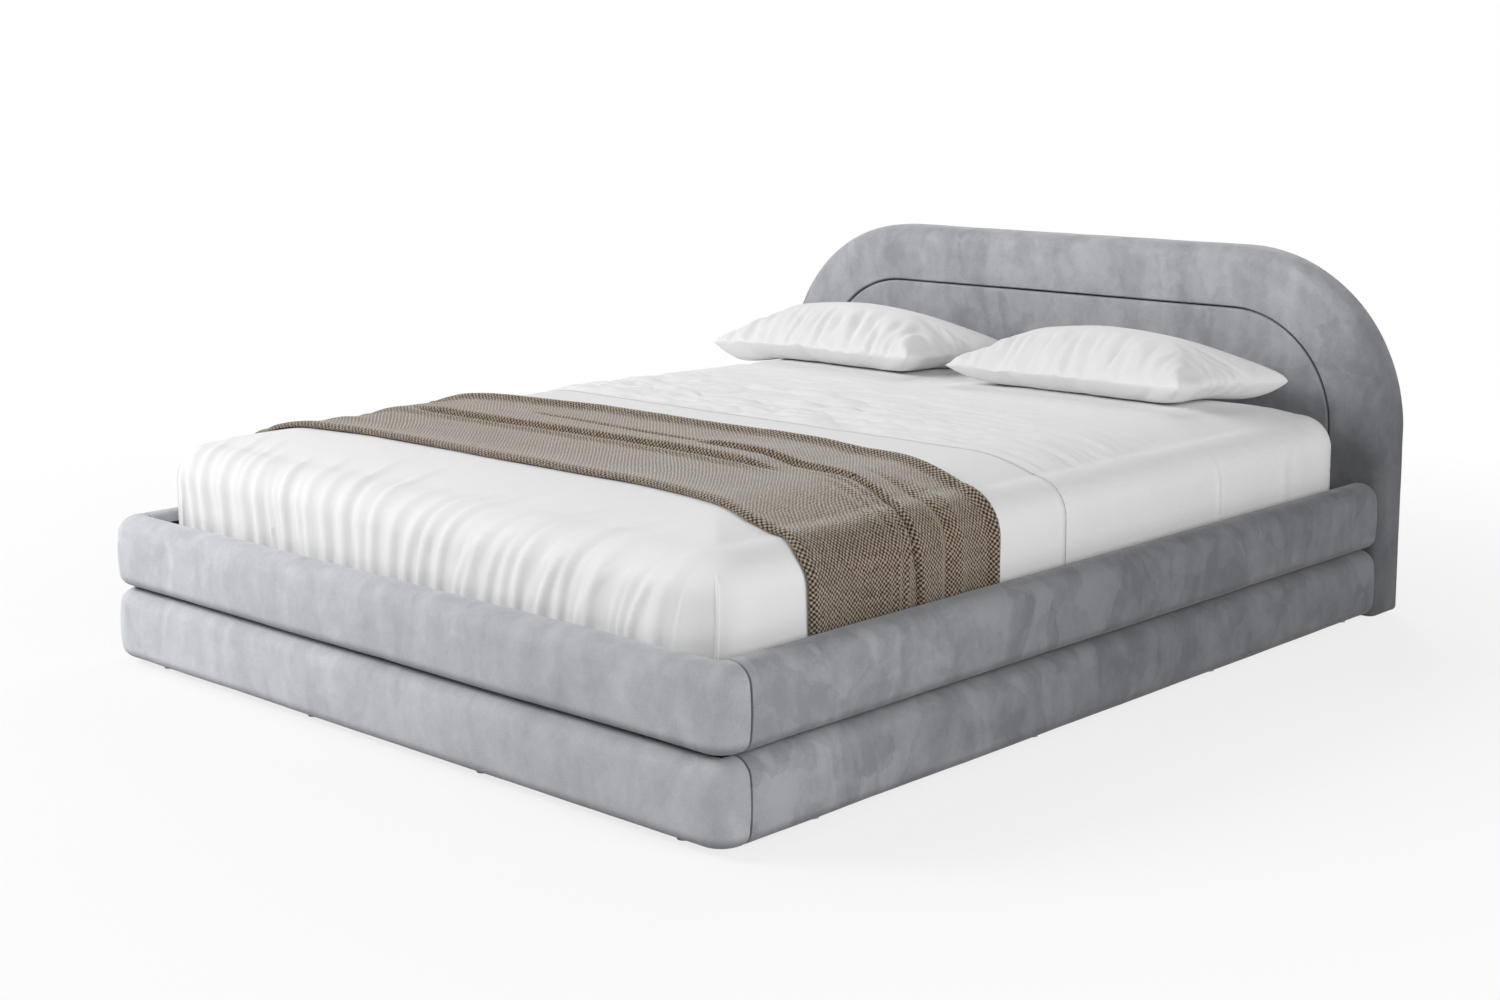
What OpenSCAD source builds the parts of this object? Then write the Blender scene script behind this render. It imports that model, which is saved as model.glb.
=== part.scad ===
// Upholstered platform bed, dressed: two padded tiers, an arched headboard, a slatted base and its bedding.
// Millimetres. +Z is up, +Y runs from the foot to the head, and the origin is on the floor under the middle.

/* [Padded tiers] */
// Outside width of both tiers
base_w = 1780; // [1500:10:2100]
// Height of the lower tier
plinth_h = 150; // [120:5:200]
// Height of the upper tier
rail_h = 150; // [130:5:190]
// Thickness of the padding outside the boards
side_foam = 40; // [36:1:46]
// Thickness of the padding on top of the upper boards
top_foam = 25; // [15:1:35]
// Thickness of the boards inside the tiers
board_t = 25; // [22:1:32]
// Thickness of the black lining and of the fabric flap on the inside
lining_t = 2; // [1:0.5:3]
// Height of the fabric flap that turns down inside the upper tier
flap_h = 60; // [45:1:80]
// Radius of the two foot corners, seen from above
corner_r = 56; // [44:1:62]
// Depth of the roll along the top outside edge of the upper tier
top_roll_d = 38; // [25:1:42]
// Height of the roll along the top outside edge of the upper tier
top_roll_h = 38; // [20:1:50]
// Radius of the roll along the top inside edge of the upper tier
inner_roll = 20; // [10:1:22]
// Radius of the roll along the top outside edge of the lower tier
plinth_roll = 36; // [20:1:45]
// Radius of the roll along the bottom outside edge of both tiers
bottom_roll = 30; // [15:1:40]
// Height of the tiers above the floor
floor_gap = 12; // [6:1:30]

/* [Headboard] */
// Width of the headboard
head_w = 1800; // [1500:10:2200]
// Height of the headboard above the floor
head_h = 825; // [700:5:1200]
// Radius of the two upper corners
head_r = 400; // [250:5:500]
// Width of the padded border
border_w = 143; // [90:1:180]
// Width of the groove between the border and the centre
groove_w = 4; // [2:0.5:8]
// Thickness of the padding on the front
head_foam = 40; // [25:1:60]
// Thickness of the padding round the outside edge
edge_foam = 26; // [24:1:32]
// Thickness of the plywood panel
panel_t = 18; // [12:1:25]
// Thickness of the timber frame behind the panel
batten_t = 30; // [20:1:45]
// Width of the timber battens
batten_w = 70; // [50:1:100]
// Thickness of the back cover
back_t = 2; // [1:0.5:4]
// Radius of the roll along the front outside edge
head_roll = 35; // [15:1:38]
// Radius of the roll along the back outside edge
back_roll = 12; // [4:1:15]
// Radius of the cushion edges at the groove
groove_roll = 6; // [2:1:10]
// Radius of the two lower corners
head_foot_r = 22; // [10:1:22]
// Height of the headboard's lower edge above the floor
head_gap = 6; // [4:1:12]

/* [Mattress and bedding] */
// Gap between the mattress and each side rail
side_room = 23; // [15:1:40]
// Length of the mattress
mattress_l = 2043; // [1900:1:2060]
// Height of the mattress at its middle
mattress_h = 279; // [220:1:320]
// Radius of the mattress corners, seen from above
mattress_r = 85; // [70:1:120]
// Radius of the mattress's top edge
mattress_edge = 68; // [40:1:80]
// Radius of the mattress's bottom edge
mattress_foot_r = 25; // [10:1:40]
// Rise of the mattress's top from its edge to its middle
crown = 32; // [5:1:40]
// Room between the mattress and the inside of the foot rail
foot_room = 17; // [15:1:30]
// Thickness of the fitted sheet
fitted_t = 2; // [1:0.5:4]
// Thickness of the top sheet
sheet_t = 2.5; // [1:0.5:5]
// How far the top sheet reaches from the foot face of the bed
sheet_reach = 1030; // [800:1:1500]
// Depth of the top sheet's pleats at the foot
pleat = 9; // [2:0.5:10]
// Thickness of the throw blanket
throw_t = 6; // [3:0.5:10]
// Distance from the foot face of the bed to the throw
throw_start = 312; // [200:1:400]
// Width of the throw along the bed
throw_w = 548; // [400:1:620]
// Height of the throw's folds
throw_fold = 8; // [2:1:15]
// How far the bedding hangs down beside the mattress
hang = 200; // [150:1:215]

/* [Pillows] */
// Length of a pillow across the bed, from corner to corner
pillow_w = 730; // [600:5:800]
// Depth of a pillow along the bed, from corner to corner
pillow_d = 440; // [350:5:550]
// Height of a pillow at its middle
pillow_h = 150; // [90:1:200]
// How far a pillow's sides pull in between its corners
pillow_waist = 30; // [10:1:60]
// Height of a pillow's seam above the mattress
pillow_seam = 34; // [10:1:60]
// Thickness of a pillow's sewn edge
pillow_rim = 3; // [2:0.5:6]
// Distance between the middles of the two pillows
pillow_pitch = 798; // [760:1:860]
// Shift of both pillows towards the left side of the bed
pillow_shift = 42; // [0:1:60]
// Distance from the headboard to the middle of a pillow
pillow_back = 268; // [240:1:400]

/* [Slats and support] */
// Number of slats
slat_n = 15; // [10:1:20]
// Width of a slat
slat_w = 70; // [50:1:90]
// Thickness of a slat
slat_t = 18; // [12:1:25]
// Width of the webbing tapes under the slats
tape_w = 20; // [10:1:40]
// Thickness of the webbing tapes
tape_t = 1.5; // [1:0.5:3]
// Thickness of the ledgers that carry the slats
ledger_t = 30; // [20:1:40]
// Height of the ledgers and of the centre beam
ledger_h = 60; // [45:1:70]
// Width of the centre beam
beam_w = 40; // [30:1:60]
// Width of the square centre legs
leg_w = 45; // [35:1:60]
// Number of centre legs
leg_n = 3; // [3]
// Diameter of a levelling foot's pad
pad_d = 40; // [30:1:45]
// Thickness of a levelling foot's pad
pad_t = 8; // [5:1:12]
// Travel of a levelling foot
foot_travel = 15; // [5:1:20]

/* [Metalwork] */
// Length of a corner bracket's legs
bracket_l = 60; // [40:1:80]
// Height of a corner bracket
bracket_h = 100; // [60:1:105]
// Thickness of the brackets and beam hangers
plate_t = 3; // [2:0.5:5]
// Depth of a beam hanger along the beam
hanger_d = 40; // [30:1:60]
// Width of a beam hanger's flanges
flange_w = 26; // [20:1:40]
// Diameter of the wood screws
screw_d = 5; // [3:0.5:6]
// Diameter of the wood screws' heads
screw_head_d = 10; // [8:0.5:12]
// Thickness of the wood screws' heads
screw_head_t = 2.5; // [1.5:0.5:4]
// Diameter of the headboard bolts and leg bolts
bolt_d = 8; // [6:1:10]
// Diameter of the bolts' heads
bolt_head_d = 16; // [13:1:20]
// Thickness of the bolts' heads
bolt_head_t = 5; // [4:1:8]
// Length of the bolts through the headboard's board
bolt_l = 92; // [89:1:105]
// Diameter of the levelling feet's threads
thread_d = 10; // [8:1:12]
// Diameter of the floor glides
glide_d = 24; // [18:1:30]

/* [Hidden] */
$fn = 48;

// Clearances: between pieces that move apart, round fasteners, and past a face that a cut goes through
gap = 0.3;
play = 0.1;
over = 1;

// Steps in a roll, in a mattress corner and in a headboard corner
roll_n = 5;
corner_n = 6;
arch_n = 14;

// Plan of the base, from outside to inside
rail_t = side_foam + board_t + lining_t;
inner_w = base_w - 2 * rail_t;
mattress_w = inner_w - 2 * side_room;
board_out = base_w / 2 - side_foam;
board_in = board_out - board_t;
head_room = 3;
base_l = rail_t + foot_room + mattress_l + head_room;
head_t = head_foam + panel_t + batten_t + back_t;
total_l = base_l + head_t;
y_foot = -total_l / 2;
y_head = y_foot + base_l;
y_seam = y_foot + rail_t;
y_board = y_foot + side_foam;
y_in = y_board + board_t;
y_head_in = y_head - board_t;

// Heights
z_plinth = floor_gap;
z_rail = z_plinth + plinth_h;
z_top = z_rail + rail_h;
z_board = z_top - top_foam;
z_ledger = z_rail - ledger_h / 2;
z_slat = z_ledger + ledger_h;
z_deck = z_slat + slat_t;
z_mattress = z_deck + gap;
z_head_rail = z_slat + slat_t / 2;

// Pillows stand on the fitted sheet, and the throw lies on the top sheet
mattress_y = y_seam + foot_room + mattress_l / 2;
z_edge = z_mattress + mattress_h - crown;
z_bed = z_mattress + mattress_h + fitted_t;
z_hem = z_edge - hang;
y_sheet = y_foot + sheet_reach;
throw_base = fitted_t + sheet_t + gap;
throw_y = y_foot + throw_start;
crown_steps = [[60, 0.6], [160, 1]];
pleat_n = 40;
throw_n = 14;
pillow_n = 7;

// Screw and bolt places
screw_tip = 8;
screw_l = ledger_t + board_t - screw_tip;
bracket_screw_l = plate_t + board_t - screw_tip;
hanger_screw_l = 25;
side_screw_n = 8;
end_screw_n = 6;
ledger_rows = [z_rail - ledger_h / 4, z_rail + ledger_h / 4];
screw_end = 120;
screw_pitch = (y_head_in - y_in - 2 * screw_end) / (side_screw_n - 1);
side_screw_y = [for (i = [0:side_screw_n - 1]) y_in + screw_end + i * screw_pitch];
end_screw_span = inner_w - 2.5 * screw_end;
end_screw_x = [for (i = [0:end_screw_n - 1]) (i / (end_screw_n - 1) - 0.5) * end_screw_span];
bolt_x = [-600, -200, 200, 600];
bolt_z = z_plinth + plinth_h * 0.6;
bracket_z = z_plinth + 10;
bracket_rows = [bracket_z + bracket_h * 0.2, bracket_z + bracket_h * 0.8];
bracket_screw_at = bracket_l * 0.6;
bracket_screw_shift = 8;
hanger_z = z_ledger - plate_t;
hanger_screw_x = beam_w / 2 + plate_t + flange_w / 2;
hanger_rows = [z_ledger + ledger_h * 0.2, z_ledger + ledger_h * 0.8];
y_beam_a = y_in + ledger_t;
y_beam_b = y_head_in - ledger_t;
leg_y = [for (i = [1:leg_n]) y_beam_a + i * (y_beam_b - y_beam_a) / (leg_n + 1)];
leg_bolt_l = 100;
bolt_sink = bolt_head_t + 2;
insert_d = thread_d + 4;
insert_h = 20;
stem_h = insert_h + foot_travel + 10;
slat_l = inner_w - 2;
slat_end = 4 + slat_w / 2;
slat_first = y_beam_a + slat_end;
slat_pitch = (y_beam_b - slat_end - slat_first) / (slat_n - 1);

suede = [0.62, 0.63, 0.66];
linen = [0.92, 0.92, 0.93];
timber = [0.80, 0.68, 0.50];
plywood = [0.76, 0.62, 0.43];
steel = [0.62, 0.63, 0.65];
black = [0.12, 0.12, 0.13];

// Quarter rolls as lists of [inset, height from the start of the roll]
function roll_up(d, h) = [for (k = [0:roll_n]) let (a = 90 * k / roll_n) [d * (1 - cos(a)), h * sin(a)]];
function roll_out(r) = [for (k = [0:roll_n]) let (a = 90 * k / roll_n) [r * (1 - sin(a)), r * (1 - cos(a))]];
function flip(list) = [for (i = [len(list) - 1:-1:0]) list[i]];

// One solid through a stack of rings with equal numbers of points, closed at both ends
module loft(rings) {
    n = len(rings[0]);
    last = len(rings) - 1;
    sides = [for (i = [0:last - 1], j = [0:n - 1]) let (a = i * n + j, b = i * n + (j + 1) % n)
        each [[a, a + n, b + n], [a, b + n, b]]];
    floor_face = [for (j = [0:n - 1]) j];
    roof_face = [for (j = [n - 1:-1:0]) last * n + j];
    polyhedron(points = [for (r = rings) each r], faces = concat(sides, [floor_face, roof_face]));
}

// One solid between an upper and a lower grid of points of the same size
module slab(upper, lower) {
    m = len(upper);
    n = len(upper[0]);
    base = m * n;
    grid = [for (i = [0:m - 2], j = [0:n - 2]) let (a = i * n + j)
        each [[a, a + 1, a + n + 1], [a, a + n + 1, a + n],
              [base + a, base + a + n + 1, base + a + 1], [base + a, base + a + n, base + a + n + 1]]];
    rim = concat([for (i = [0:m - 1]) i * n], [for (j = [1:n - 1]) (m - 1) * n + j],
                 [for (i = [m - 2:-1:0]) i * n + n - 1], [for (j = [n - 2:-1:1]) j]);
    edge = [for (k = [0:len(rim) - 1]) let (a = rim[k], b = rim[(k + 1) % len(rim)])
        each [[a, b, base + b], [a, base + b, base + a]]];
    points = concat([for (r = upper) each r], [for (r = lower) each r]);
    polyhedron(points = points, faces = concat(grid, edge));
}

// Section of a side cover: distance from the outside face, height
function rail_profile() = concat(
    [for (p = roll_out(bottom_roll)) [p[0], z_rail + p[1]]],
    [for (p = roll_up(top_roll_d, top_roll_h)) [p[0], z_top - top_roll_h + p[1]]],
    [for (p = flip(roll_up(inner_roll, inner_roll))) [rail_t - p[0], z_top - inner_roll + p[1]]],
    [[rail_t, z_top - flap_h], [rail_t - lining_t, z_top - flap_h], [rail_t - lining_t, z_board],
     [side_foam, z_board], [side_foam, z_rail]]);
function plinth_profile() = concat(
    [for (p = roll_out(bottom_roll)) [p[0], z_plinth + p[1]]],
    [for (p = roll_up(plinth_roll, plinth_roll)) [p[0], z_rail - plinth_roll + p[1]]],
    [[side_foam, z_rail], [side_foam, z_plinth]]);

module side_cover(profile) {
    color(suede) translate([0, y_head, 0]) rotate([90, 0, 0]) linear_extrude(y_head - y_seam)
        polygon([for (p = profile) [base_w / 2 - p[0], p[1]]]);
}

// Plan of a foot cover with its two round corners, drawn in by an inset
function foot_ring(inset, z) = let (
    r = corner_r - inset, x = base_w / 2 - inset, y = y_foot + inset) concat(
    [[x, y_seam, z], [-x, y_seam, z]],
    [for (k = [0:corner_n]) let (a = 180 + 90 * k / corner_n) [-x + r + r * cos(a), y + r + r * sin(a), z]],
    [for (k = [0:corner_n]) let (a = 270 + 90 * k / corner_n) [x - r + r * cos(a), y + r + r * sin(a), z]]);

module foot_block(z0, z1, roll_d, roll_h) {
    loft(concat([for (p = roll_out(bottom_roll)) foot_ring(p[0], z0 + p[1])],
                [for (p = roll_up(roll_d, roll_h)) foot_ring(p[0], z1 - roll_h + p[1])]));
}

// Section with a rolled inside edge: 0 at the inside face, depth d outwards
module inner_roll_section(d) {
    polygon(concat([[0, z_rail - over], [0, z_top - inner_roll]],
        [for (p = roll_up(inner_roll, inner_roll)) [p[0], z_top - inner_roll + p[1]]],
        [[d, z_top], [d, z_rail - over]]));
}

module foot_rail_cover() {
    color(suede) difference() {
        intersection() {
            foot_block(z_rail, z_top, top_roll_d, top_roll_h);
            union() {
                translate([base_w / 2, y_seam, 0]) rotate([90, 0, -90])
                    linear_extrude(base_w) inner_roll_section(rail_t + over);
                for (s = [0, 1]) mirror([s, 0, 0]) translate([inner_w / 2, y_seam, 0]) rotate([90, 0, 0])
                    linear_extrude(rail_t + over) inner_roll_section(rail_t + over);
            }
        }
        translate([-board_out, y_board, z_rail - over])
            cube([2 * board_out, board_t, z_board - z_rail + over]);
        for (s = [0, 1]) mirror([s, 0, 0]) translate([board_in, y_in - over, z_rail - over])
            cube([board_t, lining_t + 2 * over, z_board - z_rail + over]);
        translate([-board_in - over, y_in - over, z_rail - over])
            cube([2 * board_in + 2 * over, lining_t + 2 * over, z_top - flap_h - z_rail + over]);
    }
}

module foot_plinth_cover() {
    color(suede) difference() {
        foot_block(z_plinth, z_rail, plinth_roll, plinth_roll);
        translate([-board_out, y_board, z_plinth - over])
            cube([2 * board_out, rail_t, plinth_h + 2 * over]);
    }
}

module side_rail_cover_right() { side_cover(rail_profile()); }
module side_rail_cover_left() { mirror([1, 0, 0]) side_cover(rail_profile()); }
module side_plinth_cover_right() { side_cover(plinth_profile()); }
module side_plinth_cover_left() { mirror([1, 0, 0]) side_cover(plinth_profile()); }

// A wood screw and its hole point along -Z, with the head's underside at the origin
module screw(l) {
    cylinder(d = screw_head_d, h = screw_head_t);
    translate([0, 0, -l]) cylinder(d = screw_d, h = l);
}
module screw_hole(l) {
    translate([0, 0, -l - over]) cylinder(d = screw_d + 2 * play, h = l + 2 * over);
}

// Where each family of fasteners sits; the children are put in each place
module at_side_ledger_screws() {
    for (y = side_screw_y, z = ledger_rows)
        translate([board_in - ledger_t, y, z]) rotate([0, -90, 0]) children();
}
module at_foot_ledger_screws() {
    for (x = end_screw_x, z = ledger_rows) translate([x, y_in + ledger_t, z]) rotate([-90, 0, 0]) children();
}
module at_head_ledger_screws() {
    for (x = end_screw_x, z = ledger_rows)
        translate([x, y_head_in - ledger_t, z]) rotate([90, 0, 0]) children();
}
module at_head_bolts() {
    for (x = bolt_x) translate([x, y_head_in, bolt_z]) rotate([90, 0, 0]) children();
}
module at_side_bracket_screws() {
    for (z = bracket_rows) {
        translate([board_in - plate_t, y_in + bracket_screw_at, z]) rotate([0, -90, 0]) children();
        translate([board_in - plate_t, y_head_in - bracket_screw_at, z]) rotate([0, -90, 0]) children();
    }
}
module at_foot_bracket_screws() {
    for (z = bracket_rows, s = [-1, 1])
        translate([s * (board_in - bracket_screw_at + bracket_screw_shift), y_in + plate_t, z])
            rotate([-90, 0, 0]) children();
}
module at_head_bracket_screws() {
    for (z = bracket_rows, s = [-1, 1])
        translate([s * (board_in - bracket_screw_at + bracket_screw_shift), y_head_in - plate_t, z])
            rotate([90, 0, 0]) children();
}
module at_foot_hanger_screws() {
    for (s = [-1, 1], z = hanger_rows)
        translate([s * hanger_screw_x, y_beam_a + plate_t, z]) rotate([-90, 0, 0]) children();
}
module at_head_hanger_screws() {
    for (s = [-1, 1], z = hanger_rows)
        translate([s * hanger_screw_x, y_beam_b - plate_t, z]) rotate([90, 0, 0]) children();
}
module both_sides() {
    children();
    mirror([1, 0, 0]) children();
}

module side_rail_board_right() {
    color(timber) difference() {
        translate([board_in, y_in, z_rail]) cube([board_t, y_head - y_in, z_board - z_rail]);
        at_side_ledger_screws() screw_hole(screw_l);
    }
}
module side_rail_board_left() { mirror([1, 0, 0]) side_rail_board_right(); }

module side_plinth_board_right() {
    color(timber) difference() {
        translate([board_in, y_in, z_plinth]) cube([board_t, y_head - y_in, plinth_h]);
        at_side_ledger_screws() screw_hole(screw_l);
        at_side_bracket_screws() screw_hole(bracket_screw_l);
    }
}
module side_plinth_board_left() { mirror([1, 0, 0]) side_plinth_board_right(); }

module foot_rail_board() {
    color(timber) difference() {
        translate([-board_out, y_board, z_rail]) cube([2 * board_out, board_t, z_board - z_rail]);
        at_foot_ledger_screws() screw_hole(screw_l);
    }
}
module foot_plinth_board() {
    color(timber) difference() {
        translate([-board_out, y_board, z_plinth]) cube([2 * board_out, board_t, plinth_h]);
        at_foot_ledger_screws() screw_hole(screw_l);
        at_foot_bracket_screws() screw_hole(bracket_screw_l);
    }
}
module head_rail_board() {
    color(timber) difference() {
        translate([-board_in, y_head_in, z_rail]) cube([2 * board_in, board_t, z_head_rail - z_rail]);
        at_head_ledger_screws() screw_hole(screw_l);
    }
}
module head_plinth_board() {
    color(timber) difference() {
        translate([-board_in, y_head_in, z_plinth]) cube([2 * board_in, board_t, plinth_h]);
        at_head_ledger_screws() screw_hole(screw_l);
        at_head_bracket_screws() screw_hole(bracket_screw_l);
        at_head_bolts() bolt_hole(bolt_l);
    }
}

// Black lining on the inside faces of the upper boards, from the tier joint up to the fabric flap
module rail_linings() {
    lining_h = z_top - flap_h - z_slat;
    color(black) {
        both_sides() translate([inner_w / 2, y_seam, z_slat]) cube([lining_t, y_head_in - y_seam, lining_h]);
        translate([-board_in, y_in, z_slat]) cube([2 * board_in, lining_t, lining_h]);
    }
}

// Glides under the lower boards
module base_glides() {
    reach = board_out - board_t / 2;
    color(black) {
        for (i = [-1.5, -0.5, 0.5, 1.5]) translate([i * reach * 0.6, y_board + board_t / 2, 0])
            cylinder(d = glide_d, h = floor_gap);
        both_sides() for (i = [0.1, 0.4, 0.7, 0.97]) translate([reach, y_in + i * (y_head - y_in), 0])
            cylinder(d = glide_d, h = floor_gap);
        for (i = [-1, 1]) translate([i * reach / 2, y_head_in + board_t / 2, 0])
            cylinder(d = glide_d, h = floor_gap);
    }
}

// Steel angles in the four corners of the lower tier
module corner_bracket(y, dir) {
    translate([board_in - plate_t, min(y, y + dir * bracket_l), bracket_z])
        cube([plate_t, bracket_l, bracket_h]);
    translate([board_in - bracket_l, min(y, y + dir * plate_t), bracket_z])
        cube([bracket_l - plate_t + play, plate_t, bracket_h]);
}
module corner_brackets() {
    color(steel) both_sides() difference() {
        union() {
            corner_bracket(y_in, 1);
            corner_bracket(y_head_in, -1);
        }
        at_side_bracket_screws() screw_hole(bracket_screw_l);
        at_foot_bracket_screws() screw_hole(bracket_screw_l);
        at_head_bracket_screws() screw_hole(bracket_screw_l);
    }
}
module bracket_screws() {
    color(steel) {
        both_sides() at_side_bracket_screws() screw(bracket_screw_l);
        at_foot_bracket_screws() screw(bracket_screw_l);
        at_head_bracket_screws() screw(bracket_screw_l);
    }
}

module side_ledger_right() {
    color(timber) difference() {
        translate([board_in - ledger_t, y_in, z_ledger]) cube([ledger_t, y_head_in - y_in, ledger_h]);
        at_side_ledger_screws() screw_hole(screw_l);
    }
}
module side_ledger_left() { mirror([1, 0, 0]) side_ledger_right(); }
module end_ledger(y) {
    translate([-board_in + ledger_t, y, z_ledger]) cube([2 * (board_in - ledger_t), ledger_t, ledger_h]);
}
module foot_ledger() {
    color(timber) difference() {
        end_ledger(y_in);
        at_foot_ledger_screws() screw_hole(screw_l);
        at_foot_hanger_screws() screw_hole(hanger_screw_l);
    }
}
module head_ledger() {
    color(timber) difference() {
        end_ledger(y_beam_b);
        at_head_ledger_screws() screw_hole(screw_l);
        at_head_hanger_screws() screw_hole(hanger_screw_l);
    }
}
module ledger_screws() {
    color(steel) {
        both_sides() at_side_ledger_screws() screw(screw_l);
        at_foot_ledger_screws() screw(screw_l);
        at_head_ledger_screws() screw(screw_l);
    }
}

module slats() {
    color(timber) for (i = [0:slat_n - 1])
        translate([-slat_l / 2, slat_first + i * slat_pitch - slat_w / 2, z_slat])
            cube([slat_l, slat_w, slat_t]);
}
module slat_tapes() {
    color(black) both_sides()
        translate([inner_w / 4 - tape_w / 2, slat_first - slat_w / 2, z_slat - tape_t])
            cube([tape_w, slat_pitch * (slat_n - 1) + slat_w, tape_t]);
}

// The centre beam hangs between the end ledgers and stands on the centre legs
module centre_beam() {
    color(timber) difference() {
        translate([-beam_w / 2, y_beam_a, z_ledger]) cube([beam_w, y_beam_b - y_beam_a, ledger_h]);
        for (y = leg_y) translate([0, y, 0]) {
            translate([0, 0, z_ledger - over]) cylinder(d = bolt_d + 2 * play, h = ledger_h + 2 * over);
            translate([0, 0, z_slat - bolt_sink]) cylinder(d = bolt_head_d + 2, h = bolt_sink + over);
        }
    }
}
module beam_hanger() {
    inside = beam_w / 2 + play;
    translate([-inside - plate_t, 0, hanger_z]) cube([2 * (inside + plate_t), hanger_d, plate_t]);
    both_sides() {
        translate([inside, 0, hanger_z]) cube([plate_t, hanger_d, ledger_h]);
        translate([inside, 0, hanger_z]) cube([flange_w + plate_t, plate_t, ledger_h]);
    }
}
module beam_hangers() {
    color(steel) difference() {
        union() {
            translate([0, y_beam_a, 0]) beam_hanger();
            translate([0, y_beam_b, 0]) mirror([0, 1, 0]) beam_hanger();
        }
        at_foot_hanger_screws() screw_hole(hanger_screw_l);
        at_head_hanger_screws() screw_hole(hanger_screw_l);
    }
}
module hanger_screws() {
    color(steel) {
        at_foot_hanger_screws() screw(hanger_screw_l);
        at_head_hanger_screws() screw(hanger_screw_l);
    }
}
module centre_legs() {
    z_leg = pad_t + gap;
    color(timber) for (y = leg_y) difference() {
        translate([-leg_w / 2, y - leg_w / 2, z_leg]) cube([leg_w, leg_w, z_ledger - z_leg]);
        translate([0, y, z_leg - over]) cylinder(d = insert_d + 2 * play, h = insert_h + over);
        translate([0, y, z_leg]) cylinder(d = thread_d + 1, h = stem_h + over);
        translate([0, y, z_slat - bolt_sink - leg_bolt_l - over])
            cylinder(d = bolt_d + 2 * play, h = leg_bolt_l);
    }
}
module leg_bolts() {
    color(steel) for (y = leg_y) translate([0, y, z_slat - bolt_sink]) {
        cylinder(d = bolt_head_d, h = bolt_head_t);
        translate([0, 0, -leg_bolt_l]) cylinder(d = bolt_d, h = leg_bolt_l);
    }
}
module threaded_inserts() {
    color(steel) for (y = leg_y) translate([0, y, pad_t + gap]) difference() {
        cylinder(d = insert_d, h = insert_h);
        translate([0, 0, -over]) cylinder(d = thread_d + 2 * play, h = insert_h + 2 * over);
    }
}

// A levelling foot: a round pad with a chamfer and a threaded stem, screwed right up at rest
module levelling_foot(i) {
    color(black) translate([0, leg_y[i], 0]) rotate_extrude()
        polygon([[0, 0], [pad_d / 2, 0], [pad_d / 2, pad_t / 2], [pad_d / 2 - pad_t / 2, pad_t],
                 [thread_d / 2, pad_t], [thread_d / 2, pad_t + stem_h], [0, pad_t + stem_h]]);
}
module levelling_foot_front() { levelling_foot(0); }
module levelling_foot_middle() { levelling_foot(1); }
module levelling_foot_rear() { levelling_foot(2); }

// Headboard pieces are drawn lying on their backs, x across and y up, and then stood up
module stand_up() {
    translate([0, y_head + head_t, 0]) rotate([90, 0, 0]) children();
}
// Stations up one side of the arch, over and down the other: place, inward direction, least inset
left_path = concat(
    [for (p = roll_out(head_foot_r)) [-head_w / 2, head_gap + p[1], 1, 0, p[0]]],
    [for (k = [0:arch_n]) let (a = 180 - 90 * k / arch_n)
        [-head_w / 2 + head_r + head_r * cos(a), head_h - head_r + head_r * sin(a), -cos(a), -sin(a), 0]]);
arch_path = concat(left_path, [for (p = flip(left_path)) [-p[0], p[1], -p[2], p[3], p[4]]]);

module headboard_border_cushion() {
    inner = border_w - groove_w / 2;
    profile = concat(
        [for (p = flip(roll_up(back_roll, back_roll))) [p[0], back_roll - p[1]]],
        [for (p = roll_up(head_roll, head_roll)) [p[0], head_t - head_roll + p[1]]],
        [for (p = flip(roll_up(groove_roll, groove_roll))) [inner - p[0], head_t - groove_roll + p[1]]],
        [[inner, head_t - head_foam], [edge_foam, head_t - head_foam], [edge_foam, 0]]);
    color(suede) stand_up() loft([for (s = arch_path) [for (p = profile) let (t = max(p[0], s[4]))
        [s[0] + t * s[2], s[1] + t * s[3], p[1]]]]);
}
module headboard_centre_cushion() {
    rim = border_w + groove_w / 2;
    z_low = z_head_rail + groove_w / 2;
    arch = [for (p = arch_path) if (p[1] > head_h - head_r - over) p];
    function ring(inset, h) = concat(
        [for (p = flip(arch)) [p[0] + (rim + inset) * p[2], p[1] + (rim + inset) * p[3], h]],
        [[-head_w / 2 + rim + inset, z_low + inset, h], [head_w / 2 - rim - inset, z_low + inset, h]]);
    rolled = [for (p = roll_up(groove_roll, groove_roll)) ring(p[0], head_t - groove_roll + p[1])];
    color(suede) stand_up() loft(concat([ring(0, head_t - head_foam)], rolled));
}
module head_outline(inset) {
    polygon([for (s = arch_path) let (t = max(inset, s[4])) [s[0] + t * s[2], s[1] + t * s[3]]]);
}
module headboard_panel() {
    color(plywood) difference() {
        stand_up() translate([0, 0, back_t + batten_t]) linear_extrude(panel_t) head_outline(edge_foam);
        at_head_bolts() bolt_hole(bolt_l);
    }
}
module headboard_frame() {
    side_x = head_w / 2 - edge_foam - batten_w;
    upright_h = head_h - head_r - head_gap;
    color(timber) stand_up() translate([0, 0, back_t]) linear_extrude(batten_t) {
        for (x = [-side_x - batten_w, side_x]) translate([x, head_gap]) square([batten_w, upright_h]);
        for (y = [z_head_rail - batten_w, head_h - head_r - batten_w])
            translate([-side_x - over, y]) square([2 * side_x + 2 * over, batten_w]);
        for (x = [-side_x / 3 - batten_w, side_x / 3])
            translate([x, head_h - head_r - over]) square([batten_w, head_r - edge_foam - batten_w]);
    }
}
module headboard_back_cover() {
    color(black) stand_up() linear_extrude(back_t) head_outline(edge_foam);
}
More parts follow.
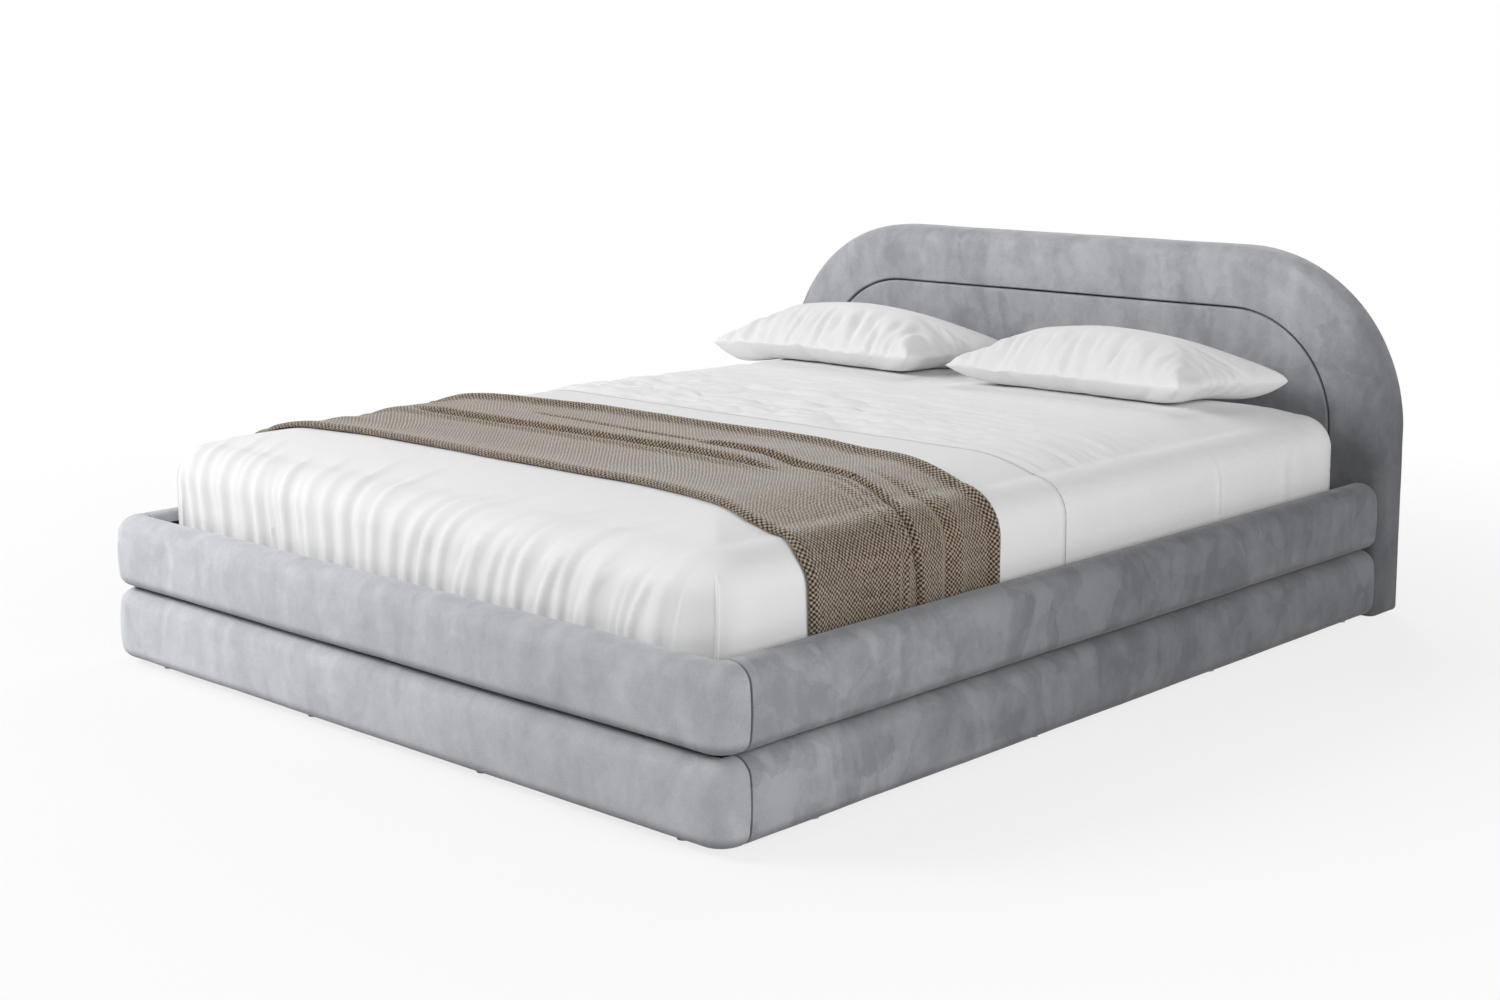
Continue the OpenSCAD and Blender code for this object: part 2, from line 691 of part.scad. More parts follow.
module headboard_mounting_board() {
    half = head_w / 2 - border_w - groove_w / 2;
    color(timber) difference() {
        translate([-half, y_head, head_gap]) cube([2 * half, head_foam, z_head_rail - head_gap]);
        at_head_bolts() bolt_hole(bolt_l);
    }
}
module headboard_glides() {
    color(black) both_sides() for (x = [side_glide_x, side_glide_x / 3])
        translate([x, y_head + head_foam + (panel_t + batten_t) / 2, 0]) cylinder(d = glide_d, h = head_gap);
}
side_glide_x = head_w / 2 - edge_foam - batten_w / 2;

// A bolt and its hole point along -Z, with the head's underside at the origin
module bolt_hole(l) {
    translate([0, 0, -l - over]) cylinder(d = bolt_d + 2 * play, h = l + 2 * over);
}
module headboard_bolts() {
    color(steel) at_head_bolts() {
        cylinder(d = bolt_head_d, h = bolt_head_t);
        translate([0, 0, -bolt_l]) cylinder(d = bolt_d, h = bolt_l);
    }
}
module headboard_tee_nuts() {
    seat = board_t + head_foam + panel_t;
    color(steel) at_head_bolts() translate([0, 0, -seat]) difference() {
        translate([0, 0, -plate_t]) cylinder(d = bolt_head_d, h = plate_t);
        translate([0, 0, -plate_t - over]) cylinder(d = bolt_d + 2 * play, h = plate_t + 2 * over);
    }
}

// Bedding surfaces: inset from the mattress's side, and height, for a layer that lies o outside the mattress
function over_edge(o) = concat(
    [for (p = roll_up(mattress_edge + o, mattress_edge + o)) [p[0] - o, z_edge - mattress_edge + p[1]]],
    [for (s = crown_steps) [mattress_edge + s[0], z_edge + o + crown * s[1]]]);

// Plan of the mattress drawn in by an inset, with pleat_n steps along the foot when it is pleated by a depth
function bed_ring(inset, z, fold = 0, steps = 1) = let (
    x = mattress_w / 2 - inset, y = mattress_l / 2 - inset, r = max(mattress_r - inset, 8)) [
    for (c = [0:3]) each concat(
        let (sx = c == 0 || c == 3 ? 1 : -1, sy = c < 2 ? 1 : -1)
            [for (k = [0:corner_n]) let (a = 90 * c + 90 * k / corner_n)
                [sx * (x - r) + r * cos(a), mattress_y + sy * (y - r) + r * sin(a), z]],
        c == 2 && steps > 1 ? [for (i = [1:steps - 1])
            [(x - r) * (2 * i / steps - 1), mattress_y - y - fold * (i % 2), z]] : [])];

module mattress() {
    color(linen) loft(concat(
        [for (p = roll_out(mattress_foot_r)) bed_ring(p[0], z_mattress + p[1])],
        [for (p = over_edge(0)) bed_ring(p[0], p[1])]));
}
module fitted_sheet() {
    hem = z_mattress + mattress_foot_r + over;
    color(linen) loft(concat(
        [for (p = flip(over_edge(0))) bed_ring(p[0], p[1])], [bed_ring(0, hem), bed_ring(-fitted_t, hem)],
        [for (p = over_edge(fitted_t)) bed_ring(p[0], p[1])]));
}
module top_sheet() {
    outer = fitted_t + sheet_t;
    color(linen) intersection() {
        loft(concat(
            [for (p = flip(over_edge(fitted_t))) bed_ring(p[0], p[1], 0, pleat_n)],
            [bed_ring(-fitted_t, z_hem, 0, pleat_n), bed_ring(-outer, z_hem, pleat, pleat_n)],
            [for (p = over_edge(outer)) bed_ring(p[0], p[1], p[0] < 0 ? pleat * 0.6 : 0, pleat_n)]));
        translate([-base_w / 2, y_foot, 0]) cube([base_w, sheet_reach, head_h]);
    }
}

// Line across the bed that the throw follows, from its left hem to its right hem, o outside the mattress
function throw_line(o) = let (
    right = concat([[mattress_w / 2 + o, z_hem]],
        [for (p = over_edge(o)) [mattress_w / 2 - p[0], p[1]]], [[mattress_w / 8, z_edge + o + crown]]))
    concat([for (p = right) [-p[0], p[1]]], flip(right));

// Height of the throw's folds: ridges across the bed that are strongest on the right side
function fold_at(x, j) = throw_fold * (j % 2) * (0.35 + 0.65 * pow(sin(90 * (x / mattress_w + 0.5)), 2));

module throw_blanket() {
    inner = throw_line(throw_base);
    outer = throw_line(throw_base + throw_t);
    function on_top(z) = z > z_edge - mattress_edge / 2 ? 1 : 0;
    function row(line, lift) = [for (p = line) [for (j = [0:throw_n])
        [p[0], throw_y + throw_w * j / throw_n, p[1] + lift * on_top(p[1]) * fold_at(p[0], j)]]];
    color([0.55, 0.50, 0.45]) slab(row(outer, 1), row(inner, 0));
}

// Thickness share of a pillow at a place from -1 to 1 across it and along it
function puff(u, v) = pow(max(0, 1 - pow(abs(u), 3)), 0.5) * pow(max(0, 1 - pow(abs(v), 2.6)), 0.55);
module pillow(x0) {
    steps = [for (i = [-pillow_n:pillow_n]) sin(90 * i / pillow_n)];
    function spot(u, v, z) = [
        x0 + u * (pillow_w / 2 - pillow_waist * (1 - v * v)),
        y_head - pillow_back + v * (pillow_d / 2 - pillow_waist * (1 - u * u)), z];
    z0 = z_bed + gap;
    upper = [for (u = steps) [for (v = steps)
        spot(u, v, z0 + pillow_seam + pillow_rim + (pillow_h - pillow_seam - pillow_rim) * puff(u, v))]];
    lower = [for (u = steps) [for (v = steps) spot(u, v, z0 + pillow_seam * (1 - puff(u, v)))]];
    color(linen) slab(upper, lower);
}
module pillow_left() { pillow(-pillow_pitch / 2 - pillow_shift); }
module pillow_right() { pillow(pillow_pitch / 2 - pillow_shift); }

headboard_border_cushion();
headboard_centre_cushion();
headboard_panel();
headboard_frame();
headboard_back_cover();
headboard_mounting_board();
headboard_glides();
headboard_bolts();
headboard_tee_nuts();
foot_rail_cover();
side_rail_cover_left();
side_rail_cover_right();
foot_rail_board();
side_rail_board_left();
side_rail_board_right();
head_rail_board();
rail_linings();
foot_plinth_cover();
side_plinth_cover_left();
side_plinth_cover_right();
foot_plinth_board();
side_plinth_board_left();
side_plinth_board_right();
head_plinth_board();
base_glides();
corner_brackets();
bracket_screws();
side_ledger_left();
side_ledger_right();
foot_ledger();
head_ledger();
ledger_screws();
slats();
slat_tapes();
centre_beam();
beam_hangers();
hanger_screws();
centre_legs();
leg_bolts();
threaded_inserts();
levelling_foot_front();
levelling_foot_middle();
levelling_foot_rear();
mattress();
fitted_sheet();
top_sheet();
throw_blanket();
pillow_left();
pillow_right();
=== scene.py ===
"""A dressed upholstered bed: velvet tiers, arched headboard, mattress, sheets, throw and pillows."""
import math
import random

import bmesh
import bpy
import numpy as np
from bpy.props import FloatProperty, FloatVectorProperty, PointerProperty
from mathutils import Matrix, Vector, noise


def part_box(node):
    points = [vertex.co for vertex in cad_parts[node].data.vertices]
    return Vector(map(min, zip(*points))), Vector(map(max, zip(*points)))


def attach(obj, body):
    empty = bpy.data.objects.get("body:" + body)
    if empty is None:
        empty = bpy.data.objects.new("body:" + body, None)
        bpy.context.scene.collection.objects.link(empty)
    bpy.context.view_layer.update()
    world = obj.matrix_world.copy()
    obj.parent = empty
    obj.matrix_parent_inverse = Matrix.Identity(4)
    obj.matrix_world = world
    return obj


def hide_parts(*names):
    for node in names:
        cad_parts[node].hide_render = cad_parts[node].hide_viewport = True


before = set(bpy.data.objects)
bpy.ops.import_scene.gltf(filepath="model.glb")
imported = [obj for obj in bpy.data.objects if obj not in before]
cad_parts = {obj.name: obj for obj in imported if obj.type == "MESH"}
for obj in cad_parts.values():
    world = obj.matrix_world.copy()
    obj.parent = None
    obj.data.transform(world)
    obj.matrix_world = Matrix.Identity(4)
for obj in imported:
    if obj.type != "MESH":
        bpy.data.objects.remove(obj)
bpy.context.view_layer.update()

bl_info = {
    "name": "Upholstered Bed",
    "version": (1, 0, 0),
    "blender": (4, 5, 0),
    "location": "3D View > Sidebar > Bed",
    "description": "Builds the soft parts, finishes and studio of an upholstered bed around its frame",
    "category": "Object",
}

MM = 0.001


# ---------------------------------------------------------------- sizes and colours

def linear(hex_code):
    """An sRGB hex colour as linear red, green, blue and alpha."""
    parts = [int(hex_code[i:i + 2], 16) / 255 for i in (0, 2, 4)]
    return tuple([c / 12.92 if c <= 0.04045 else ((c + 0.055) / 1.055) ** 2.4 for c in parts] + [1.0])


def length(name, millimetres, text):
    """A size that the panel shows, with its default in millimetres."""
    return FloatProperty(name=name, description=text, default=millimetres * MM, min=0.0, unit="LENGTH")


def colour(name, hex_code, text):
    """A colour that the panel shows."""
    return FloatVectorProperty(name=name, description=text, default=linear(hex_code), size=4,
                               min=0.0, max=1.0, subtype="COLOR")


class BedTierSizes(bpy.types.PropertyGroup):
    """Sizes of the two padded tiers, as the frame has them."""
    corner: length("Corner radius", 56, "Radius of the two foot corners, seen from above")
    top_roll: length("Top roll", 38, "Roll along the upper tier's top outside edge")
    inner_roll: length("Inner roll", 20, "Roll along the upper tier's top inside edge")
    plinth_roll: length("Lower tier's roll", 36, "Roll along the lower tier's top outside edge")
    bottom_roll: length("Bottom roll", 30, "Roll along both tiers' bottom outside edge")
    bulge: length("Bulge", 2.2, "How far the padded outside faces stand out in their middle")
    seam: length("Seam", 4.5, "Radius with which the covers turn in at the corner seams")
    rear: length("Rear corner", 15, "Radius of the side covers' rear ends")
    flap: length("Flap", 21, "Depth of the velvet flap on the tier's inside")
    gap: length("Gap", 3.3, "Half of the dark gap between the two tiers")


class BedHeadboardSizes(bpy.types.PropertyGroup):
    """Sizes of the headboard's two cushions."""
    radius: length("Corner radius", 400, "Radius of the headboard's upper corners")
    border: length("Border", 143, "Width of the padded border")
    groove: length("Groove", 4, "Width of the groove between border and centre")
    groove_roll: length("Groove roll", 4.5, "Radius of the cushion edges at the groove")
    front_roll: length("Front roll", 35, "Roll along the front outside edge")
    back_roll: length("Back roll", 12, "Roll along the back outside edge")
    foot_roll: length("Lower corners", 22, "Radius of the two lower corners")
    padding: length("Padding", 40, "Thickness of the padding on the front")
    edge_padding: length("Edge padding", 26, "Thickness of the padding round the outside")


class BedBeddingSizes(bpy.types.PropertyGroup):
    """Sizes of the mattress and of the cloth on it."""
    corner: length("Corner radius", 85, "Radius of the mattress's corners, seen from above")
    edge: length("Edge roll", 68, "Radius of the mattress's top edge")
    crown: length("Crown", 32, "Rise of the mattress from its edge to its middle")
    fold: length("Sheet folds", 9.5, "Depth of the top sheet's folds at the foot")
    throw_fold: length("Throw folds", 16, "Height of the throw's main fold")
    yarn: length("Yarn pitch", 6.6, "Distance between the crossings of the throw's yarns")


class BedColours(bpy.types.PropertyGroup):
    """Colours of the finishes."""
    velvet_light: colour("Velvet, brushed up", "d3d5da", "Velvet where the nap lies towards the light")
    velvet_dark: colour("Velvet, brushed down", "b1b3b9", "Velvet where the nap lies away from the light")
    cotton: colour("Cotton", "e8e8e8", "Sheets and pillow cases")
    yarn_light: colour("Light yarn", "b09f8b", "The throw's light yarn")
    yarn_dark: colour("Dark yarn", "33291f", "The throw's dark yarn")
    pine: colour("Pine", "d9b98a", "Boards, ledgers, beam and legs")
    birch: colour("Birch", "e0c69a", "Slats")


# ---------------------------------------------------------------- finishes

def add(tree, kind, inputs=None, out=0):
    """Adds a node of a kind and gives one of its outputs. Each of the inputs is a setting, a socket's
    value, or the output of another node to link it to."""
    node = tree.nodes.new("ShaderNode" + kind)
    for name, value in (inputs or {}).items():
        if isinstance(value, bpy.types.NodeSocket):
            tree.links.new(value, node.inputs[name])
        elif isinstance(name, str) and hasattr(node, name):
            setattr(node, name, value)
        else:
            node.inputs[name].default_value = value
    return node.outputs[out] if node.outputs else None


def new_material(name, **shader):
    """A material with a Principled shader of the given values, as (material, its tree)."""
    material = bpy.data.materials.new(name)
    material.use_nodes = True
    bsdf = material.node_tree.nodes["Principled BSDF"]
    for socket, value in shader.items():
        bsdf.inputs[socket.replace("_", " ")].default_value = value
    return material, material.node_tree


def finished(material, tone, surface):
    """The material, with its shader's colour and surface linked."""
    tree = material.node_tree
    bsdf = tree.nodes["Principled BSDF"]
    tree.links.new(tone, bsdf.inputs["Base Color"])
    tree.links.new(surface, bsdf.inputs["Normal"])
    return material


def toned(tint, share):
    """A colour made darker, to a share of its light."""
    return tuple([c * share for c in tint[:3]] + [1.0])


def velvet_with_painted_shade(name, light, dark, shade_fades, streaks, patches, clouds, shift=0.0):
    """Short-pile polyester velvet, brushed by hand: the pile lies one way in some places and the other way
    in others, which gives upright streaks and ragged patches, and a soft sheen at grazing angles. Painted
    shade: the tone is scaled along each axis given, as (axis, start, end, tone at the end), to paint the
    light's fall-off across a panel, and surfaces that face downward are painted darker. The three weights
    say how much the streaks, the patches and the fine clouds show, and the shift gives each panel its own
    pattern."""
    material, tree = new_material(name, Roughness=0.92, Specular_IOR_Level=0.18,
                                  Sheen_Weight=0.30, Sheen_Roughness=0.42,
                                  Sheen_Tint=(0.92, 0.93, 0.97, 1.0))
    place = add(tree, "TexCoord", out="Object")
    move = add(tree, "Mapping", {"Location": (shift, shift * 0.7, 0), "Vector": place})
    # A hand's sweep is about 200 mm wide, and bends the streaks and the edges of the patches
    sweep = add(tree, "TexNoise", {"Scale": 5.0, "Detail": 3.0, "Vector": move}, "Color")
    bent = add(tree, "VectorMath", {"operation": "MULTIPLY_ADD", 0: sweep, 1: (0.16, 0.16, 0.12), 2: move})
    fray = add(tree, "TexNoise", {"Scale": 34.0, "Detail": 7.0, "Roughness": 0.72, "Vector": move}, "Color")
    torn = add(tree, "VectorMath", {"operation": "MULTIPLY_ADD", 0: fray, 1: (0.03, 0.03, 0.045), 2: bent})
    # Streaks 20 to 45 mm wide and 150 to 300 mm tall
    tall = add(tree, "Mapping", {"Scale": (21, 21, 3.0), "Vector": torn})
    streak = add(tree, "TexNoise", {"Scale": 1.0, "Detail": 3.0, "Roughness": 0.55, "Vector": tall})
    # Patches about 100 mm wide and 130 mm tall with ragged edges, and hand marks with one crisp edge
    broad = add(tree, "Mapping", {"Scale": (9.5, 9.5, 7.0), "Vector": torn})
    patch = add(tree, "TexVoronoi", {"Scale": 1.0, "Vector": broad}, "Color")
    cell = add(tree, "SeparateColor", {0: patch})
    mark = add(tree, "TexNoise", {"Scale": 9.0, "Detail": 1.0, "Vector": torn})
    hand = add(tree, "MapRange", {"From Min": 0.49, "From Max": 0.53, "To Min": -0.5, "To Max": 0.5,
                                  "Value": mark})
    cloud = add(tree, "TexNoise", {"Scale": 16.0, "Detail": 8.0, "Roughness": 0.68, "Vector": move})
    # The pile is 1 mm long; it is drawn 2 mm wide so that it shows
    pile = add(tree, "TexNoise", {"Scale": 420.0, "Detail": 3.0, "Vector": place})
    # Each part varies about one half, and so does their sum
    parts = [(hand, patches * 0.6), (streak, streaks), (cell, patches), (cloud, clouds), (pile, 0.8)]
    share = 0.5 - 0.5 * sum(weight for _, weight in parts[1:])
    for part, weight in parts:
        share = add(tree, "Math", {"operation": "MULTIPLY_ADD", "use_clamp": part == pile,
                                   0: part, 1: weight, 2: share})
    tone = add(tree, "Mix", {"data_type": "RGBA", 0: share, 6: dark, 7: light}, 2)
    # Painted shade: the tone is scaled along the given axes, as the light falls off across a panel
    painted_shade_scales = [(place, axis, start, end, 1.0, last) for axis, start, end, last in shade_fades]
    # Painted shade: where the cloth faces downward, as on the rolls under each tier, its tone is darkened
    # to as little as 0.48
    painted_shade_scales.append((add(tree, "NewGeometry", out="Normal"), 2, -0.85, -0.05, 0.48, 1.0))
    for direction, axis, start, end, first, last in painted_shade_scales:
        value = add(tree, "SeparateXYZ", {0: direction}, axis)
        lean = add(tree, "MapRange", {"interpolation_type": "SMOOTHSTEP", "From Min": start,
                                      "From Max": end, "To Min": first, "To Max": last, "Value": value})
        tone = add(tree, "VectorMath", {"operation": "SCALE", 0: tone, 3: lean})
    soft = add(tree, "Bump", {"Strength": 0.34, "Distance": 0.0012, "Height": pile})
    lay = add(tree, "Bump", {"Strength": 0.20, "Distance": 0.004, "Height": share, "Normal": soft})
    return finished(material, tone, lay)


def cotton_cloth(name, tint, crinkle=0.0):
    """Washed cotton percale: matt and bright, a fine plain weave, and faint creases left by folding."""
    material, tree = new_material(name, Roughness=0.88, Specular_IOR_Level=0.25,
                                  Sheen_Weight=0.12, Sheen_Roughness=0.5)
    place = add(tree, "TexCoord", out="Object")
    spots = add(tree, "TexNoise", {"Scale": 5.0, "Detail": 4.0, "Vector": place})
    tone = add(tree, "Mix", {"data_type": "RGBA", 0: spots, 6: toned(tint, 0.955), 7: tint}, 2)
    # Threads lie 0.35 mm apart; they are drawn 1.4 mm apart so that they show
    threads = add(tree, "TexNoise", {"Scale": 700.0, "Detail": 2.0, "Vector": place})
    fine = add(tree, "Bump", {"Strength": 0.18, "Distance": 0.0006, "Height": threads})
    creases = add(tree, "TexNoise", {"Scale": 26.0, "Detail": 5.0, "Roughness": 0.6, "Vector": place})
    last = add(tree, "Bump", {"Strength": 0.16, "Distance": 0.004, "Height": creases, "Normal": fine})
    if crinkle:
        # Crinkles 9 mm wide and 70 mm long that run across the bed
        across = add(tree, "Mapping", {"Scale": (14, 110, 110), "Vector": place})
        ripple = add(tree, "TexNoise", {"Scale": 1.0, "Detail": 3.0, "Distortion": 0.6, "Vector": across})
        last = add(tree, "Bump", {"Strength": crinkle, "Distance": 0.004, "Height": ripple, "Normal": last})
    return finished(material, tone, last)


def two_tone_weave(name, light, dark, pitch):
    """Coarse woven acrylic throw: light and dark yarns cross on the diagonal. Its raised fuzz catches the
    light at grazing angles, so that the top looks pale and soft and the sides dark and crisp."""
    material, tree = new_material(name, Roughness=0.95, Specular_IOR_Level=0.1,
                                  Sheen_Weight=0.60, Sheen_Roughness=0.42,
                                  Sheen_Tint=(0.95, 0.93, 0.90, 1.0))
    place = add(tree, "TexCoord", out="Object")
    # The flat places are metres of cloth, and the yarns wander by up to half of their pitch
    flat = add(tree, "UVMap", {"uv_map": "cloth"})
    wander = add(tree, "TexNoise", {"Scale": 60.0, "Detail": 2.0, "Vector": place}, "Color")
    slack = add(tree, "VectorMath", {"operation": "MULTIPLY_ADD", 0: wander, 1: (pitch, pitch, 0), 2: flat})
    turned = add(tree, "Mapping", {"Rotation": (0, 0, math.pi / 4), "Vector": slack})
    waves = {}
    for axis in (0, 1):
        part = add(tree, "SeparateXYZ", {0: turned}, axis)
        turns = add(tree, "Math", {"operation": "MULTIPLY", 0: part, 1: math.tau / pitch})
        waves[axis] = add(tree, "Math", {"operation": "COSINE", 0: turns})
    share = add(tree, "Math", {"operation": "SUBTRACT", **waves})
    fuzz = add(tree, "TexNoise", {"Scale": 150.0, "Detail": 4.0, "Roughness": 0.6, "Vector": place})
    # Some yarns are spun thicker: bands 6 mm wide and 150 mm long, both ways
    parts = [(fuzz, 0.95)]
    for scale in ((7, 160, 1), (160, 7, 1)):
        yarns = add(tree, "Mapping", {"Scale": scale, "Vector": flat})
        parts.append((add(tree, "TexNoise", {"Scale": 1.0, "Detail": 2.0, "Vector": yarns}), 0.45))
    share = add(tree, "Math", {"operation": "MULTIPLY_ADD", 0: share, 1: 0.46, 2: -0.555})
    for part, weight in parts:
        share = add(tree, "Math", {"operation": "MULTIPLY_ADD", "use_clamp": part == parts[-1][0],
                                   0: part, 1: weight, 2: share})
    tone = add(tree, "Mix", {"data_type": "RGBA", 0: share, 6: dark, 7: light}, 2)
    raised = add(tree, "Bump", {"Strength": 0.7, "Distance": 0.0018, "Height": share})
    return finished(material, tone, raised)


def sawn_wood(name, tint, along, ring=9.0):
    """Planed, unfinished softwood or birch: straight grain, darker late wood, and a dry matt surface."""
    material, tree = new_material(name, Roughness=0.62, Specular_IOR_Level=0.35)
    place = add(tree, "TexCoord", out="Object")
    # Growth rings about 4 mm apart, drawn out 25 times along the board
    scale = [240.0, 240.0, 240.0]
    scale[along] = ring
    rings = add(tree, "Mapping", {"Scale": scale, "Vector": place})
    grain = add(tree, "TexNoise", {"Scale": 1.0, "Detail": 5.0, "Distortion": 0.8, "Vector": rings})
    spots = add(tree, "TexNoise", {"Scale": 6.0, "Detail": 2.0, "Vector": place})
    share = add(tree, "Math", {"operation": "MULTIPLY_ADD", "use_clamp": True, 0: spots, 1: 0.35, 2: grain})
    tone = add(tree, "Mix", {"data_type": "RGBA", 0: share, 6: toned(tint, 0.55), 7: tint}, 2)
    raised = add(tree, "Bump", {"Strength": 0.15, "Distance": 0.0006, "Height": grain})
    return finished(material, tone, raised)


def speckled(name, light, dark, size, depth, **shader):
    """A finish whose colour and surface vary in grains of a size in metres."""
    material, tree = new_material(name, **shader)
    place = add(tree, "TexCoord", out="Object")
    grain = add(tree, "TexNoise", {"Scale": 1 / size, "Detail": 3.0, "Vector": place})
    tone = add(tree, "Mix", {"data_type": "RGBA", 0: grain, 6: dark, 7: light}, 2)
    raised = add(tree, "Bump", {"Strength": 0.3, "Distance": depth, "Height": grain})
    return finished(material, tone, raised)


def ribbed(name, light, dark, pitch, axis, **shader):
    """A woven band or knitted cloth with ribs a pitch apart along an axis of the object."""
    material, tree = new_material(name, **shader)
    place = add(tree, "TexCoord", out="Object")
    # A wave of scale 1 has bands 0.314 m apart
    wave = add(tree, "TexWave", {"bands_direction": axis, "Scale": 0.314 / pitch, "Distortion": 0.4,
                                 "Vector": place}, "Fac")
    grain = add(tree, "TexNoise", {"Scale": 300.0, "Detail": 2.0, "Vector": place})
    share = add(tree, "Math", {"operation": "MULTIPLY", 0: wave, 1: grain})
    tone = add(tree, "Mix", {"data_type": "RGBA", 0: share, 6: dark, 7: light}, 2)
    raised = add(tree, "Bump", {"Strength": 0.4, "Distance": pitch / 4, "Height": share})
    return finished(material, tone, raised)


# ---------------------------------------------------------------- shapes

def quarter_turns(steps):
    """Evenly spaced angles from nothing to a quarter turn."""
    return [math.pi / 2 * k / steps for k in range(steps + 1)]


def quarter(radius, steps):
    """A quarter circle that starts upright: pairs of how far it is drawn in and how high it has risen."""
    return [(radius * (1 - math.cos(a)), radius * math.sin(a)) for a in quarter_turns(steps)]


def turned_in(distance, radius):
    """How far a cover of a radius has turned in at a distance from its end."""
    left = np.clip(radius - np.asarray(distance), 0.0, radius)
    return radius - np.sqrt(radius ** 2 - left ** 2)


def unevenness(points, size, seed, stretch=(1, 1, 1)):
    """Smooth noise from -1 to 1 at each point, in lumps of about a size in metres."""
    spots = (points * np.array(stretch) / size + seed).reshape(-1, 3).tolist()
    return np.array([noise.noise(p) for p in spots]).reshape(points.shape[:-1])


def facing(points, wrap):
    """The outward direction at each point of a grid: away from the middle of its closed rows, or else
    upwards."""
    along = np.gradient(points, axis=0)
    around = np.roll(points, -1, 1) - np.roll(points, 1, 1) if wrap else np.gradient(points, axis=1)
    normal = np.cross(along, around)
    size = np.linalg.norm(normal, axis=2, keepdims=True)
    normal = np.where(size > 1e-10, normal / np.maximum(size, 1e-10), 0.0)
    if wrap:
        sign = np.sign(((points - points.mean(axis=1, keepdims=True)) * normal).sum())
    else:
        sign = np.sign(normal[..., 2].sum())
    return normal * sign


def grid_faces(rows, columns, wrap):
    """The faces between the points of a grid, whose rows may be closed, and the points' numbers."""
    index = np.arange(rows * columns).reshape(rows, columns)
    ahead = np.roll(index, -1, 1)
    last = columns if wrap else columns - 1
    corners = [index[:-1, :last], ahead[:-1, :last], ahead[1:, :last], index[1:, :last]]
    return np.stack(corners, -1).reshape(-1, 4).tolist(), index


def make_piece(name, points, faces, material, body, replaces=(), merge=True, sharp=50):
    """A smooth-shaded piece from points and faces, on a body, in place of CAD nodes."""
    mesh = bpy.data.meshes.new(name)
    mesh.from_pydata([tuple(p) for p in points], [], faces)
    if merge:
        shape = bmesh.new()
        shape.from_mesh(mesh)
        bmesh.ops.remove_doubles(shape, verts=shape.verts, dist=1e-6)
        bmesh.ops.dissolve_degenerate(shape, edges=shape.edges, dist=1e-7)
        bmesh.ops.recalc_face_normals(shape, faces=shape.faces)
        shape.to_mesh(mesh)
        shape.free()
    mesh.polygons.foreach_set("use_smooth", [True] * len(mesh.polygons))
    mesh.set_sharp_from_angle(angle=math.radians(sharp))
    mesh.materials.append(material)
    piece = bpy.data.objects.new(name, mesh)
    bpy.context.scene.collection.objects.link(piece)
    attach(piece, body)
    if replaces:
        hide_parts(*replaces)
    return piece


def make_loft(name, points, material, body, replaces=()):
    """A closed piece through rows of closed sections."""
    faces, index = grid_faces(*points.shape[:2], True)
    faces += [index[0][::-1].tolist(), index[-1].tolist()]
    return make_piece(name, points.reshape(-1, 3), faces, material, body, replaces)


def make_cloth(name, points, flat, thickness, material, body, replaces=()):
    """A sheet of cloth through a grid of points, with its flat places as a UV map and a real thickness."""
    faces, _ = grid_faces(*points.shape[:2], False)
    piece = make_piece(name, points.reshape(-1, 3), faces, material, body, replaces, merge=False)
    mesh = piece.data
    if mesh.polygons[len(mesh.polygons) // 2].normal.z < 0:
        mesh.flip_normals()
    layer = mesh.uv_layers.new(name="cloth")
    corners = np.empty(len(mesh.loops), dtype=np.int64)
    mesh.loops.foreach_get("vertex_index", corners)
    layer.uv.foreach_set("vector", flat.reshape(-1, 2)[corners].astype(np.float32).ravel())
    shell = piece.modifiers.new("cloth thickness", "SOLIDIFY")
    shell.thickness = thickness
    shell.offset = 0.0
    settle(piece)
    return piece


def settle(piece):
    """Applies a piece's modifiers."""
    graph = bpy.context.evaluated_depsgraph_get()
    mesh = bpy.data.meshes.new_from_object(piece.evaluated_get(graph))
    old = piece.data
    piece.modifiers.clear()
    piece.data = mesh
    mesh.name = old.name + "_set"
    bpy.data.meshes.remove(old)


# ---------------------------------------------------------------- padded tiers

RAIL_LOW, RAIL_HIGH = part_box("side_rail_cover_right")
PLINTH_LOW, PLINTH_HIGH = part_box("side_plinth_cover_right")
FOOT_LOW, FOOT_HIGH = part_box("foot_rail_cover")
OUTSIDE = RAIL_HIGH[0]
INSIDE = RAIL_LOW[0]
SEAM_Y = FOOT_HIGH[1]
FOOT_Y = FOOT_LOW[1]
HEAD_Y = RAIL_HIGH[1]
BOARD_X, _, BOARD_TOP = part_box("side_rail_board_right")[1]
BOARD_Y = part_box("foot_rail_board")[0][1]
# Depth of the room that the frame leaves for a lining
LINING = 2 * MM
# At a seam each cover stands back by this share of half the tiers' gap
SEAM_SHARE = 0.7
# Points along a cover: millimetres from a seam, round a corner, and along the foot
SEAM_STEPS = [0, 0.3, 0.8, 1.6, 2.6, 4.2, 6.5, 9.0]
ARC_STEPS = 14
FOOT_STEPS = 130


